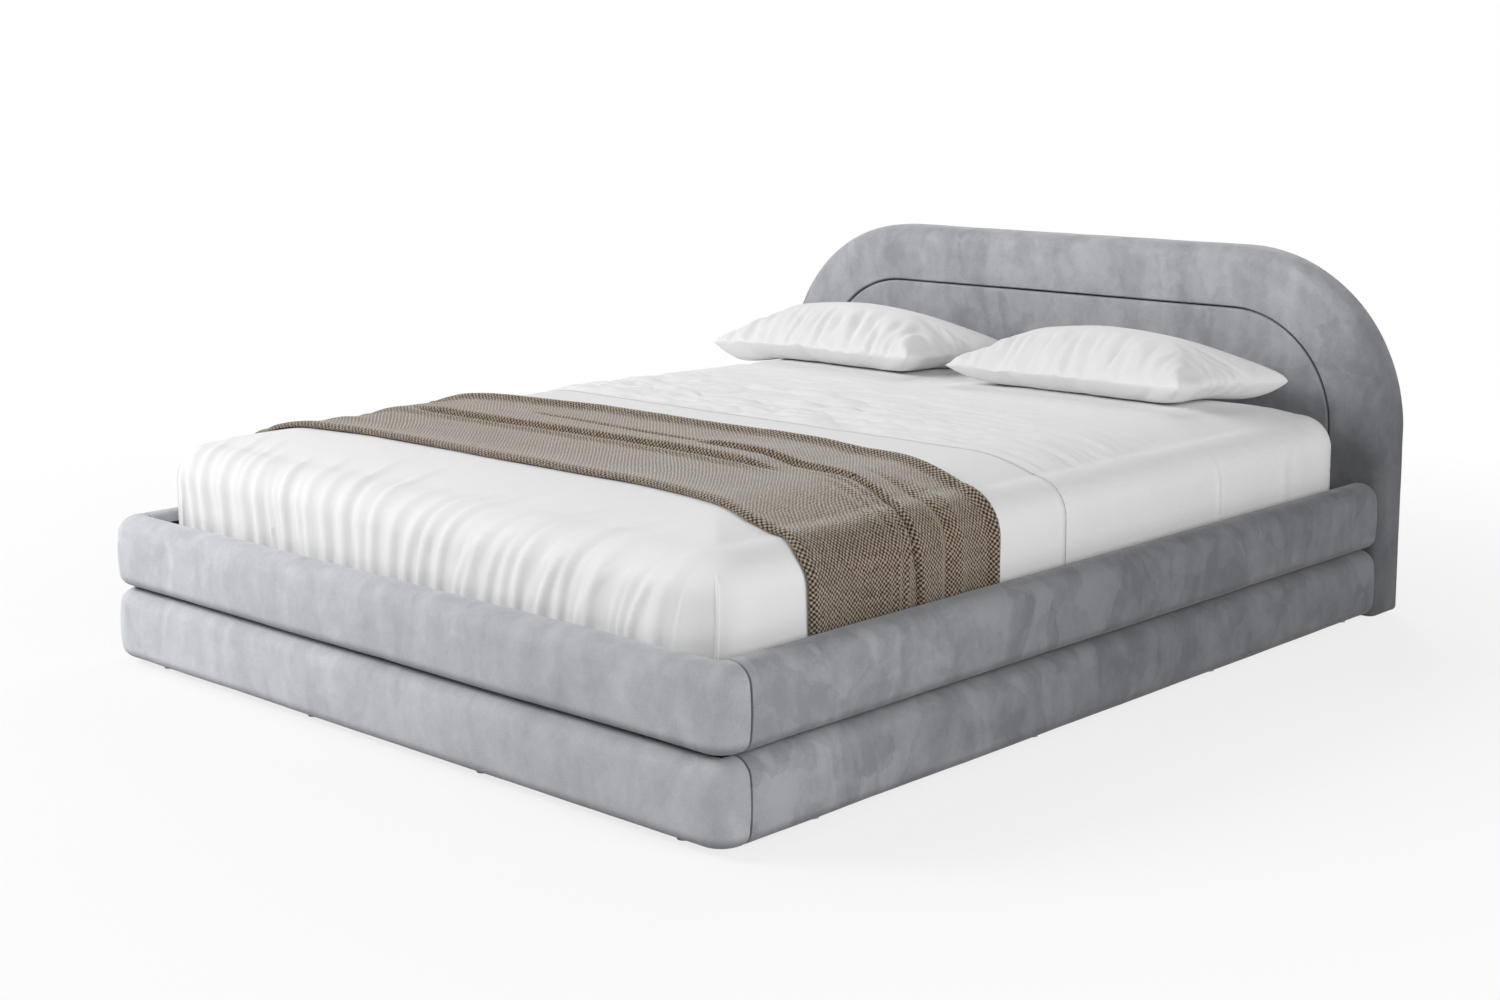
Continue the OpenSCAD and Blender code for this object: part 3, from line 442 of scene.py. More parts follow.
def foot_plan(corner, kind, value):
    """Plan of a foot cover from its right seam to its left one: its outside drawn in by a value, its
    inside a value away from the inner face, or the hollow round the board."""
    reach = FOOT_Y + corner
    ends = [d / SEAM_STEPS[-1] for d in SEAM_STEPS]
    arcs = [k / ARC_STEPS for k in range(1, ARC_STEPS + 1)]
    middle = [k / FOOT_STEPS for k in range(1, FOOT_STEPS)]
    if kind == "out":
        r = corner - value
        x, y = OUTSIDE - value, FOOT_Y + value
        half = [(x, SEAM_Y + (y + r - SEAM_Y) * e) for e in ends]
        half += [(x - r + r * math.cos(math.pi / 2 * a), y + r - r * math.sin(math.pi / 2 * a))
                 for a in arcs]
        row = [((x - r) * (1 - 2 * t), y) for t in middle]
    elif kind == "in":
        outer = foot_plan(corner, "out", value[1])
        inner = foot_plan(corner, "apex", 0)
        away = outer - inner
        size = np.linalg.norm(away, axis=1, keepdims=True)
        return inner + away / size * value[0]
    elif kind == "apex":
        half = [(INSIDE, SEAM_Y)] * (len(ends) + len(arcs))
        row = [(INSIDE * (1 - 2 * t), SEAM_Y) for t in middle]
    else:
        x = OUTSIDE - corner
        half = [(BOARD_X, SEAM_Y + (reach - SEAM_Y) * e) for e in ends]
        half += [(BOARD_X, reach + (BOARD_Y - reach) * 2 * a) if a <= 0.5 else
                 (BOARD_X + (x - BOARD_X) * (2 * a - 1), BOARD_Y) for a in arcs]
        row = [(x * (1 - 2 * t), BOARD_Y) for t in middle]
    left = [(-px, py) for px, py in half[::-1]]
    return np.array(half + row + left)


def side_stations(rear):
    """Places along a side cover, close together near its seam and in the turn of its rear end."""
    start = [SEAM_Y + d * MM for d in SEAM_STEPS + [14, 22, 34]]
    end = [HEAD_Y - rear * f for f in (1.6, 1.2, 0.9, 0.65, 0.45, 0.28, 0.15, 0.06, 0.015, 0)]
    count = round((end[0] - start[-1]) / (12 * MM))
    return np.array(start + [start[-1] + (end[0] - start[-1]) * k / count for k in range(1, count)] + end)


def tier_section(sizes, upper):
    """Section of a tier's cover as (kind, value, height, whether it shows)."""
    if upper:
        low, high, roll = RAIL_LOW[2] + sizes.gap, RAIL_HIGH[2], sizes.top_roll
    else:
        low, high, roll = PLINTH_LOW[2], PLINTH_HIGH[2] - sizes.gap, sizes.plinth_roll
    bottom = sizes.bottom_roll
    section = [("hollow", 0, low, False)]
    section += [("out", bottom * (1 - math.sin(a)), low + bottom * (1 - math.cos(a)), True)
                for a in quarter_turns(9)]
    for k in range(1, 9):
        section.append(("out", -sizes.bulge * math.sin(math.pi * k / 9) ** 0.8,
                        low + bottom + (high - roll - low - bottom) * k / 9, True))
    section += [("out", d, high - roll + h, True) for d, h in quarter(roll, 11)]
    if not upper:
        return section + [("hollow", 0, high, False)]
    inner = sizes.inner_roll
    section += [("in", (inner - d, roll), high - inner + h, True)
                for d, h in [(inner - d, h) for d, h in quarter(inner, 7)][::-1]]
    flap = high - sizes.flap
    section += [("in", (0, roll), high - inner - (high - inner - flap) * t, True) for t in (0.3, 0.65, 1)]
    section += [("in", (LINING, roll), flap, False), ("in", (LINING, roll), BOARD_TOP, False)]
    return section + [("hollow", 0, BOARD_TOP, False)]


def pad_out(points, shows, turned, seed):
    """Moves a cover's outside: in where it turns in at an end, and by its padding's unevenness."""
    normal = facing(points, True)
    # Soft lumps 280 mm wide, with smaller ones of 70 mm on them
    lumps = 1.1 * MM * unevenness(points, 0.28, seed) + 0.45 * MM * unevenness(points, 0.07, seed + 7)
    move = (lumps - turned[:, None]) * np.array(shows)[None, :]
    return points + normal * move[..., None]


def make_foot_cover(sizes, upper, material):
    """The cover of a tier's foot end, with both corners, from seam to seam."""
    section = tier_section(sizes, upper)
    plans = [foot_plan(sizes.corner, kind, value) for kind, value, _, _ in section]
    heights = [s[2] for s in section]
    points = np.stack([np.column_stack([p, np.full(len(p), z)]) for p, z in zip(plans, heights)], axis=1)
    far = np.full(len(points), 1.0)
    far[:len(SEAM_STEPS)] = [d * MM for d in SEAM_STEPS]
    far = np.minimum(far, far[::-1])
    points = pad_out(points, [s[3] for s in section], turned_in(far, sizes.seam), 3.0 if upper else 11.0)
    points[..., 1] = np.minimum(points[..., 1], SEAM_Y - sizes.gap * SEAM_SHARE)
    name, board = ("upper", "rail") if upper else ("lower", "plinth")
    piece = make_loft(f"velvet_foot_{name}", points, material, "frame",
                      [f"foot_{board}_cover"])


def make_side_cover(sizes, upper, side, material):
    """The cover of a tier's right or left side, from its seam to the headboard."""
    section = tier_section(sizes, upper)
    stations = side_stations(sizes.rear)
    places = {"out": lambda v: OUTSIDE - v, "in": lambda v: INSIDE + v[0], "hollow": lambda v: BOARD_X}
    points = np.array([[(side * places[kind](value), y, z) for kind, value, z, _ in section]
                       for y in stations])
    turned = turned_in(stations - SEAM_Y, sizes.seam) + turned_in(HEAD_Y - stations, sizes.rear)
    points = pad_out(points, [s[3] for s in section], turned, 21.0 + side * 5 + (3 if upper else 0))
    points[..., 1] = np.maximum(points[..., 1], SEAM_Y + sizes.gap * SEAM_SHARE)
    which = "right" if side > 0 else "left"
    name, board = ("upper", "rail") if upper else ("lower", "plinth")
    piece = make_loft(f"velvet_side_{name}_{which}", points, material, "frame",
                      [f"side_{board}_cover_{which}"])


class BED_OT_padded_tiers(bpy.types.Operator):
    """Covers both tiers with padded velvet, with rolled edges and a seam near each foot corner"""
    bl_idname = "bed.padded_tiers"
    bl_label = "Padded Tiers"

    def execute(self, context):
        sizes, tints = context.scene.bed_tiers, context.scene.bed_colours
        # Painted shade: the foot's velvet is darkened from its left end to 0.74 of its tone at its right
        # end
        front = velvet_with_painted_shade("brushed_polyester_velvet", tints.velvet_light, tints.velvet_dark,
                               [(0, -OUTSIDE, OUTSIDE, 0.74)], streaks=1.2, patches=0.16, clouds=1.1)
        # Painted shade: each side is a darker copy of the velvet, the right side darkest, and both darken
        # further towards the headboard
        sides = {}
        for side, name, tone, end, shift in ((1, "right", 0.61, 0.54, 0.37),
                                             (-1, "left", 0.76, 0.72, 0.62)):
            light, dark = toned(tints.velvet_light, tone), toned(tints.velvet_dark, tone)
            sides[side] = velvet_with_painted_shade(f"brushed_polyester_velvet_{name}", light, dark,
                                         [(1, FOOT_Y - 0.1, 0.15, end)], streaks=1.5, patches=0.56,
                                         clouds=2.0, shift=shift)
        for upper in (True, False):
            make_foot_cover(sizes, upper, front)
            for side in (1, -1):
                make_side_cover(sizes, upper, side, sides[side])
        return {"FINISHED"}


# ---------------------------------------------------------------- headboard

(_, HEAD_FRONT, HEAD_BOTTOM), (HEAD_X, HEAD_BACK, HEAD_TOP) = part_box("headboard_border_cushion")
HEAD_DEPTH = HEAD_BACK - HEAD_FRONT
CENTRE_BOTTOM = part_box("headboard_centre_cushion")[0][2]
BACK_LOW, BACK_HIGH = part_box("headboard_back_cover")


def arch_path(sizes):
    """Stations up the left side, round the arch and down the right side: place, inward direction, and the
    least distance from the outside."""
    r, low = sizes.radius, sizes.foot_roll
    half = [(-HEAD_X, HEAD_BOTTOM + low * (1 - math.cos(a)), 1, 0, low * (1 - math.sin(a)))
            for a in quarter_turns(8)]
    rise = HEAD_TOP - r - HEAD_BOTTOM - low
    half += [(-HEAD_X, HEAD_BOTTOM + low + rise * k / 32, 1, 0, 0) for k in range(1, 32)]
    for a in [math.pi - turn for turn in quarter_turns(56)]:
        half.append((-HEAD_X + r + r * math.cos(a), HEAD_TOP - r + r * math.sin(a), -math.cos(a),
                     -math.sin(a), 0))
    top = [((HEAD_X - r) * (2 * k / 84 - 1), HEAD_TOP, 0, -1, 0) for k in range(1, 84)]
    return half + top + [(-x, z, -dx, dz, least) for x, z, dx, dz, least in half[::-1]]


def make_border(sizes, material):
    """The headboard's border: one cushion that runs up, over the arch and down, and wraps its edge."""
    inner = sizes.border - sizes.groove / 2
    back, front, edge = sizes.back_roll, sizes.front_roll, sizes.groove_roll
    pad, bulge = sizes.edge_padding, 0.8 * MM
    skin = [(back * (1 - math.sin(a)), back * (1 - math.cos(a))) for a in quarter_turns(6)]
    skin += [(-bulge * math.sin(math.pi * k / 5), back + (HEAD_DEPTH - front - back) * k / 5)
             for k in range(1, 5)]
    skin += [(d, HEAD_DEPTH - front + h) for d, h in quarter(front, 11)]
    face = inner - edge - front
    skin += [(front + face * k / 10, HEAD_DEPTH) for k in range(1, 10)]
    skin += [(inner - d, HEAD_DEPTH - edge + h) for d, h in quarter(edge, 6)[::-1]]
    section = [(pad, 0.0, False)] + [(i, d, True) for i, d in skin]
    section += [(inner, HEAD_DEPTH - sizes.padding, False), (pad, HEAD_DEPTH - sizes.padding, False)]
    points = np.array([[(x + max(i, least) * dx, HEAD_BACK - d, z + max(i, least) * dz)
                        for i, d, _ in section] for x, z, dx, dz, least in arch_path(sizes)])
    points = pad_out(points, [s[2] for s in section], np.zeros(len(points)), 43.0)
    points[..., 2] = np.maximum(points[..., 2], HEAD_BOTTOM)
    piece = make_loft("velvet_headboard_border", points, material, "frame",
                      ["headboard_border_cushion"])


def centre_ring(sizes, inset, depth):
    """A ring round the centre cushion, an inset from its edge and a depth in front of the back."""
    rim = sizes.border + sizes.groove / 2 + inset
    x, r = HEAD_X - rim, sizes.radius - rim
    cx, cz = HEAD_X - sizes.radius, HEAD_TOP - sizes.radius
    low = CENTRE_BOTTOM + inset
    half = [(x, low + (cz - low) * k / 20) for k in range(20)]
    half += [(cx + r * math.cos(a), cz + r * math.sin(a)) for a in quarter_turns(40)]
    top = [(cx * (1 - 2 * k / 80), cz + r) for k in range(1, 80)]
    left = [(-px, pz) for px, pz in half[::-1]]
    bottom = [(-x + 2 * x * k / 110, low) for k in range(1, 110)]
    return [(px, HEAD_BACK - depth, pz) for px, pz in half + top + left + bottom]


def make_centre(sizes, material):
    """The headboard's centre cushion, inside the groove."""
    edge = sizes.groove_roll
    rings = [centre_ring(sizes, 0, HEAD_DEPTH - sizes.padding)]
    rings += [centre_ring(sizes, d, HEAD_DEPTH - edge + h) for d, h in quarter(edge, 6)]
    insets = [8, 14, 24, 38, 54, 72, 92, 112, 132, 152, 172, 192, 210, 224]
    rings += [centre_ring(sizes, i * MM, HEAD_DEPTH) for i in insets]
    points = np.array(rings)
    lumps = 1.0 * MM * unevenness(points, 0.26, 61.0) + 0.4 * MM * unevenness(points, 0.07, 67.0)
    points[2:, :, 1] -= lumps[2:]
    piece = make_loft("velvet_headboard_centre", points, material, "frame",
                      ["headboard_centre_cushion"])


class BED_OT_padded_headboard(bpy.types.Operator):
    """Covers the headboard with a padded velvet border and a padded centre, with a groove between them"""
    bl_idname = "bed.padded_headboard"
    bl_label = "Padded Headboard"

    def execute(self, context):
        sizes, tints = context.scene.bed_headboard, context.scene.bed_colours
        # Painted shade: the headboard's velvet is a darker copy, darkened further near its right end and
        # lower down, towards the pillows
        shade_fades = [(0, HEAD_X * 0.72, HEAD_X, 0.72), (2, 0.73, 0.36, 0.47)]
        velvet = velvet_with_painted_shade("brushed_polyester_velvet_headboard", toned(tints.velvet_light, 0.73),
                                toned(tints.velvet_dark, 0.73), shade_fades, streaks=1.6, patches=0.30,
                                clouds=1.6, shift=0.81)
        make_border(sizes, velvet)
        make_centre(sizes, velvet)
        return {"FINISHED"}


# ---------------------------------------------------------------- linings

# Thickness of the black cloth, and length, width and thickness of its staples' crowns
FELT = 1.2 * MM
CROWN_LONG, CROWN_WIDE, CROWN_THICK = 10 * MM, 1.2 * MM, 1 * MM


class BED_OT_black_linings(bpy.types.Operator):
    """Stretches the black lining inside the tier and over the headboard's back, with its staples"""
    bl_idname = "bed.black_linings"
    bl_label = "Black Linings"

    def execute(self, context):
        # Spun-bonded polypropylene: thin and dull black, with dots pressed in about 2 mm apart
        felt = speckled("spunbond_polypropylene", linear("2a2a2c"), linear("161617"), 2.2 * MM, 0.0005,
                        Roughness=0.9, Specular_IOR_Level=0.3)
        self.back(felt, context.scene.bed_headboard)
        low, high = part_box("rail_linings")
        high = (*high[:2], RAIL_HIGH[2] - context.scene.bed_tiers.flap)
        zs = np.linspace(low[2], high[2], 9)
        ys = np.linspace(low[1] + 2 * MM, high[1], 120)
        for side, which in ((-1, "left"), (1, "right")):
            points = np.array([[(side * (INSIDE + LINING / 2), y, z) for z in zs] for y in ys])
            points[..., 0] += side * 0.3 * MM * unevenness(points, 0.05, 71.0)
            self.lining(felt, f"lining_{which}", points, points[..., 1:], f"side_rail_board_{which}")
        xs = np.linspace(-INSIDE - LINING / 2, INSIDE + LINING / 2, 110)
        points = np.array([[(x, SEAM_Y - LINING / 2, z) for z in zs] for x in xs])
        points[..., 1] -= 0.3 * MM * unevenness(points, 0.05, 73.0)
        self.lining(felt, "lining_foot", points, points[..., ::2], "foot_rail_board")
        self.tape(felt, context.scene.bed_tiers.gap)
        return {"FINISHED"}

    def lining(self, felt, name, points, flat, board):
        """A strip of the black cloth, stretched along a board. The board argument is not used."""
        piece = make_cloth(name, points, flat, FELT, felt, "frame", ["rail_linings"])

    def tape(self, felt, gap):
        """A black tape round the boards where the two tiers meet, so that no wood shows in the gap."""
        bend, end = BOARD_Y + 20 * MM, HEAD_Y - 3 * MM
        path = [(-BOARD_X, y, -1, 0) for y in np.linspace(end, bend, 40)]
        path += [(-BOARD_X, BOARD_Y, -1, -1)]
        path += [(x, BOARD_Y, 0, -1) for x in np.linspace(20 * MM - BOARD_X, BOARD_X - 20 * MM, 36)]
        path += [(BOARD_X, BOARD_Y, 1, -1)]
        path += [(BOARD_X, y, 1, 0) for y in np.linspace(bend, end, 40)]
        # Its section is a flat oval, 1.8 mm thick and mostly outside the boards
        oval = [((0.3 + 0.9 * math.cos(a)) * MM, RAIL_LOW[2] + (gap + 3 * MM) * math.sin(a))
                for a in [math.tau * k / 8 for k in range(8)]]
        rows = [[(x + out_x * out, y + out_y * out, z) for out, z in oval] for x, y, out_x, out_y in path]
        make_loft("tier_joint_tape", np.array(rows), felt, "frame")

    def back(self, felt, sizes):
        """The cover on the headboard's back, cut to the arch, and a row of staples near its edge."""
        r = sizes.radius - sizes.edge_padding
        cx, cz = HEAD_X - sizes.radius, HEAD_TOP - sizes.radius
        straight = [BACK_LOW[2] + (cz - BACK_LOW[2]) * k / 30 for k in range(30)]
        curved = [cz + r * math.sin(a) for a in quarter_turns(40)]
        rows = []
        for z in straight + curved:
            half = cx + (r if z <= cz else math.sqrt(max(r * r - (z - cz) ** 2, 0)))
            rows.append([(half * (k / 60 - 1), HEAD_BACK - LINING / 2, z) for k in range(121)])
        points = np.array(rows)
        points[..., 1] += 0.35 * MM * unevenness(points, 0.09, 79.0)
        piece = make_cloth("headboard_back_cloth", points, points[..., ::2], FELT, felt, "frame",
                           ["headboard_back_cover"])
        self.staples(sizes)

    def staples(self, sizes):
        """Wire staples along the edge of the back's cover, a little narrower on their outside."""
        ends = [(-1, -1, -1), (1, -1, -1), (1, 1, -1), (-1, 1, -1),
                (-0.94, -0.7, 1), (0.94, -0.7, 1), (0.94, 0.7, 1), (-0.94, 0.7, 1)]
        sides = [(0, 1, 2, 3), (7, 6, 5, 4), (0, 4, 5, 1), (1, 5, 6, 2), (2, 6, 7, 3), (3, 7, 4, 0)]
        inset = sizes.edge_padding + 9 * MM
        points, faces = [], []
        for x, z, dx, dz, _ in [station for station in arch_path(sizes) if station[4] == 0][::4]:
            along, across = Vector((-dz, 0, dx)), Vector((dx, 0, dz))
            centre = Vector((x + inset * dx, HEAD_BACK + 0.3 * MM, z + inset * dz))
            faces += [[len(points) + corner for corner in side] for side in sides]
            points += [centre + along * s * CROWN_LONG / 2 + across * t * CROWN_WIDE / 2
                       + Vector((0, u * CROWN_THICK / 2, 0)) for s, t, u in ends]
        wire = speckled("galvanised_wire", linear("b9bbbe"), linear("8f9296"), 3 * MM, 0.0001,
                        Metallic=1.0, Roughness=0.35)
        make_piece("back_staples", points, faces, wire, "frame")


# ---------------------------------------------------------------- mattress and cloth on it

BED_LOW, BED_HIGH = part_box("mattress")
BED_HALF = BED_HIGH[0]
BED_MIDDLE = (BED_LOW[1] + BED_HIGH[1]) / 2
BED_REACH = (BED_HIGH[1] - BED_LOW[1]) / 2
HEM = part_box("throw_blanket")[0][2]
# What lies on the bed stays this far from the headboard's cushion, so that it lifts out
CLEAR = 2 * MM


def core(sizes):
    """Half the width and half the length of the mattress inside its rounded corners."""
    return BED_HALF - sizes.corner, BED_REACH - sizes.corner


def on_bed(flat_x, flat_y, outside, sizes):
    """Where a point of a flat cloth lies on the mattress, outside its surface by a distance, and how far
    over the edge it is. The cloth bends down at the edges, and is gathered round the corners."""
    corner, edge = sizes.corner, sizes.edge
    core_x, core_y = core(sizes)
    y = flat_y - BED_MIDDLE
    over_x = np.maximum(np.abs(flat_x) - core_x, 0)
    over_y = np.maximum(np.abs(y) - core_y, 0)
    s = np.maximum(over_x, over_y)
    safe = np.maximum(s, 1e-9)
    turn = np.where(over_x >= over_y, math.pi / 4 * over_y / safe,
                    math.pi / 2 - math.pi / 4 * over_x / safe)
    flat_part = corner - edge
    radius = edge + outside
    bend = np.clip((s - flat_part) / radius, 0, math.pi / 2)
    reach = np.minimum(s, flat_part) + radius * np.sin(bend)
    drop = radius * (1 - np.cos(bend)) + np.maximum(s - flat_part - radius * math.pi / 2, 0)
    x = np.sign(flat_x) * (np.minimum(np.abs(flat_x), core_x) + reach * np.cos(turn))
    new_y = np.sign(y) * (np.minimum(np.abs(y), core_y) + reach * np.sin(turn))
    top = BED_HIGH[2] - sizes.crown
    inset = np.minimum(BED_HALF + outside - np.abs(x), BED_REACH + outside - np.abs(new_y))
    share = np.clip((inset - edge - outside) / (160 * MM), 0, 1)
    rise = sizes.crown * (1 - (1 - share) ** 2.0)
    return np.stack([x, new_y + BED_MIDDLE, top + outside - drop + rise], -1), s


def down_to(height, outside, sizes):
    """Length of cloth from the mattress's core to a height on its side."""
    top = BED_HIGH[2] - sizes.crown
    return (sizes.corner - sizes.edge) + (sizes.edge + outside) * math.pi / 2 + (top - sizes.edge - height)


def spaced(*parts):
    """One increasing row of places from (start, end, step) parts."""
    places = []
    for start, end, step in parts:
        count = max(1, round((end - start) / step))
        places += [start + (end - start) * k / count for k in range(count)]
    return np.array(places + [parts[-1][1]])


def over_edges(half, side, edge_step, top_step):
    """Places from one end of a cloth to the other, over a core of a half width and down both its sides."""
    return spaced((-half - side, -half, edge_step), (-half, half, top_step), (half, half + side, edge_step))


class BED_OT_quilted_mattress(bpy.types.Operator):
    """Makes the mattress: a crowned, round-edged body in knitted ticking with a piped lower edge"""
    bl_idname = "bed.quilted_mattress"
    bl_label = "Quilted Mattress"

    def execute(self, context):
        sizes = context.scene.bed_bedding
        # Knitted polyester ticking: off-white, soft, with ribs about 4 mm apart
        ticking = ribbed("knitted_ticking", linear("e4e2dc"), linear("bdb9b0"), 4 * MM, "X",
                         Roughness=0.85, Specular_IOR_Level=0.25, Sheen_Weight=0.15)
        low = 25 * MM
        side = down_to(BED_LOW[2] + low, 0, sizes)
        core_x, core_y = core(sizes)
        xs, ys = [over_edges(half, side, 12 * MM, 40 * MM) for half in (core_x, core_y)]
        flat_x, flat_y = np.meshgrid(xs, ys + BED_MIDDLE, indexing="ij")
        points, _ = on_bed(flat_x, flat_y, 0, sizes)
        faces, index = grid_faces(*flat_x.shape, False)
        rim = [*index[:, 0], *index[-1, 1:], *index[-2::-1, -1], *index[0, -2:0:-1]]
        verts = points.reshape(-1, 3).tolist()
        centre = np.array([0, BED_MIDDLE, 0])
        last, n = rim, len(rim)
        # The lower edge turns in
        for a in quarter_turns(6)[1:]:
            ring = []
            for i in rim:
                p = np.array(verts[i])
                away = p - centre
                away -= [np.clip(away[0], -core_x, core_x), np.clip(away[1], -core_y, core_y), away[2]]
                away /= np.linalg.norm(away)
                p = p - away * low * (1 - math.cos(a)) - [0, 0, low * math.sin(a)]
                ring.append(len(verts))
                verts.append(p.tolist())
            faces += [[last[j], last[(j + 1) % n], ring[(j + 1) % n], ring[j]] for j in range(n)]
            last = ring
        faces.append(last)
        piece = make_piece("mattress_body", verts, faces, ticking, "mattress",
                           ["mattress"])
        # Piping: a 9 mm cord in a strip of ticking, sewn into the lower edge
        cord = 4.5 * MM
        loop = [Vector(verts[i]) for i in rim]
        points = []
        for i, p in enumerate(loop):
            ahead = (loop[(i + 1) % len(loop)] - loop[i - 1]).normalized()
            out = Vector((ahead.y, -ahead.x, 0)).normalized()
            if out.dot(p - Vector((0, BED_MIDDLE, p.z))) < 0:
                out = -out
            middle = p - out * 1.5 * MM - Vector((0, 0, 2 * cord))
            points.append([tuple(middle + out * cord * math.cos(a) + Vector((0, 0, cord * math.sin(a))))
                           for a in [math.tau * k / 10 for k in range(10)]])
        rows = np.array(points + points[:1])
        rows[..., 1] = np.minimum(rows[..., 1], HEAD_Y - CLEAR)
        faces, _ = grid_faces(len(rows), 10, True)
        make_piece("mattress_piping", rows.reshape(-1, 3), faces, ticking, "mattress")
        return {"FINISHED"}


class BED_OT_fitted_sheet(bpy.types.Operator):
    """Stretches the fitted sheet over the mattress, with crosswise crinkles on its top near the pillows"""
    bl_idname = "bed.fitted_sheet"
    bl_label = "Fitted Sheet"

    def execute(self, context):
        sizes, tints = context.scene.bed_bedding, context.scene.bed_colours
        cotton = cotton_cloth("cotton_percale_fitted", tints.cotton, crinkle=0.35)
        outside = 1.5 * MM
        core_x, core_y = core(sizes)
        side = down_to(BED_LOW[2] + 27 * MM, outside, sizes)
        xs = over_edges(core_x, side, 9 * MM, 10.5 * MM)
        foot, head = -core_y - side, core_y + side
        ys = spaced((foot, -0.14, 28 * MM), (-0.14, 0.56, 5.2 * MM), (0.56, head, 12 * MM))
        flat_x, flat_y = np.meshgrid(xs, ys + BED_MIDDLE, indexing="ij")
        points, over = on_bed(flat_x, flat_y, outside, sizes)
        normal = facing(points, False)
        # It lies flat under the top sheet
        shown = np.clip((points[..., 1] + 0.088) / 0.045, 0, 1)
        top = np.clip(1 - over / (40 * MM), 0, 1)
        # Crinkles 30 mm wide and 100 mm long, strongest on the left and next to the top sheet
        near = np.clip(1.2 - np.clip(points[..., 1] + 0.08, 0, 1) / 0.62, 0.15, 1)
        left = np.clip(1.0 - (points[..., 0] - 0.15) / 0.65, 0.3, 1)
        fine = unevenness(points, 0.026, 5.0, (0.3, 1, 0.3))
        finer = unevenness(points, 0.013, 9.0, (0.4, 1, 0.4))
        long_waves = unevenness(points, 0.060, 13.0, (0.5, 1, 0.5))
        crinkles = (14 * fine + 6.5 * finer + 8.0 * long_waves + 4.5) * near * left * top
        crinkles = np.clip(crinkles, -0.3, 10.5)
        # A few soft upright folds on the sides
        folds = unevenness(points, 0.05, 17.0, (0.3, 1, 0.2)) * np.clip(points[..., 1], 0, 1)
        drape = (0.6 + 2.2 * folds) * (1 - top)
        # Two pulled creases on each side, where the elastic below gathers the cloth
        low = np.clip((over - 55 * MM) / (90 * MM), 0, 1)
        for place, lean, half in ((0.462, 0.016, 8 * MM), (0.785, -0.040, 15 * MM)):
            away = points[..., 1] - place - lean * low
            drape += low * (3.4 * np.exp(-(away / half) ** 2) - 1.0 * np.exp(-(away / half - 2.2) ** 2))
        lift = MM * shown * (crinkles + drape + 0.5)
        points = points + normal * lift[..., None]
        points[..., 1] = np.minimum(points[..., 1], HEAD_Y - CLEAR - 0.2 * MM)
        flat = np.stack([flat_x, flat_y], -1)
        piece = make_cloth("fitted_sheet_cloth", points, flat, 1.4 * MM, cotton, "mattress",
                           ["fitted_sheet"])
        return {"FINISHED"}


def foot_folds(seed):
    """Places, half widths, heights and starts of the folds in the top sheet at the foot: broad ones with
    finer ones between them, and a last broad one at the right corner."""
    dice = random.Random(seed)
    folds, x = [], -0.77
    while x < 0.60:
        if dice.random() < 0.55:
            folds.append((x, dice.uniform(10, 17) * MM, dice.uniform(0.8, 1.1), dice.uniform(-80, 5) * MM))
            x += dice.uniform(38, 60) * MM
        else:
            folds.append((x, dice.uniform(4, 7) * MM, dice.uniform(0.35, 0.6), dice.uniform(-20, 60) * MM))
            x += dice.uniform(18, 34) * MM
    return folds + [(0.665, 24 * MM, 1.0, 0.0)]


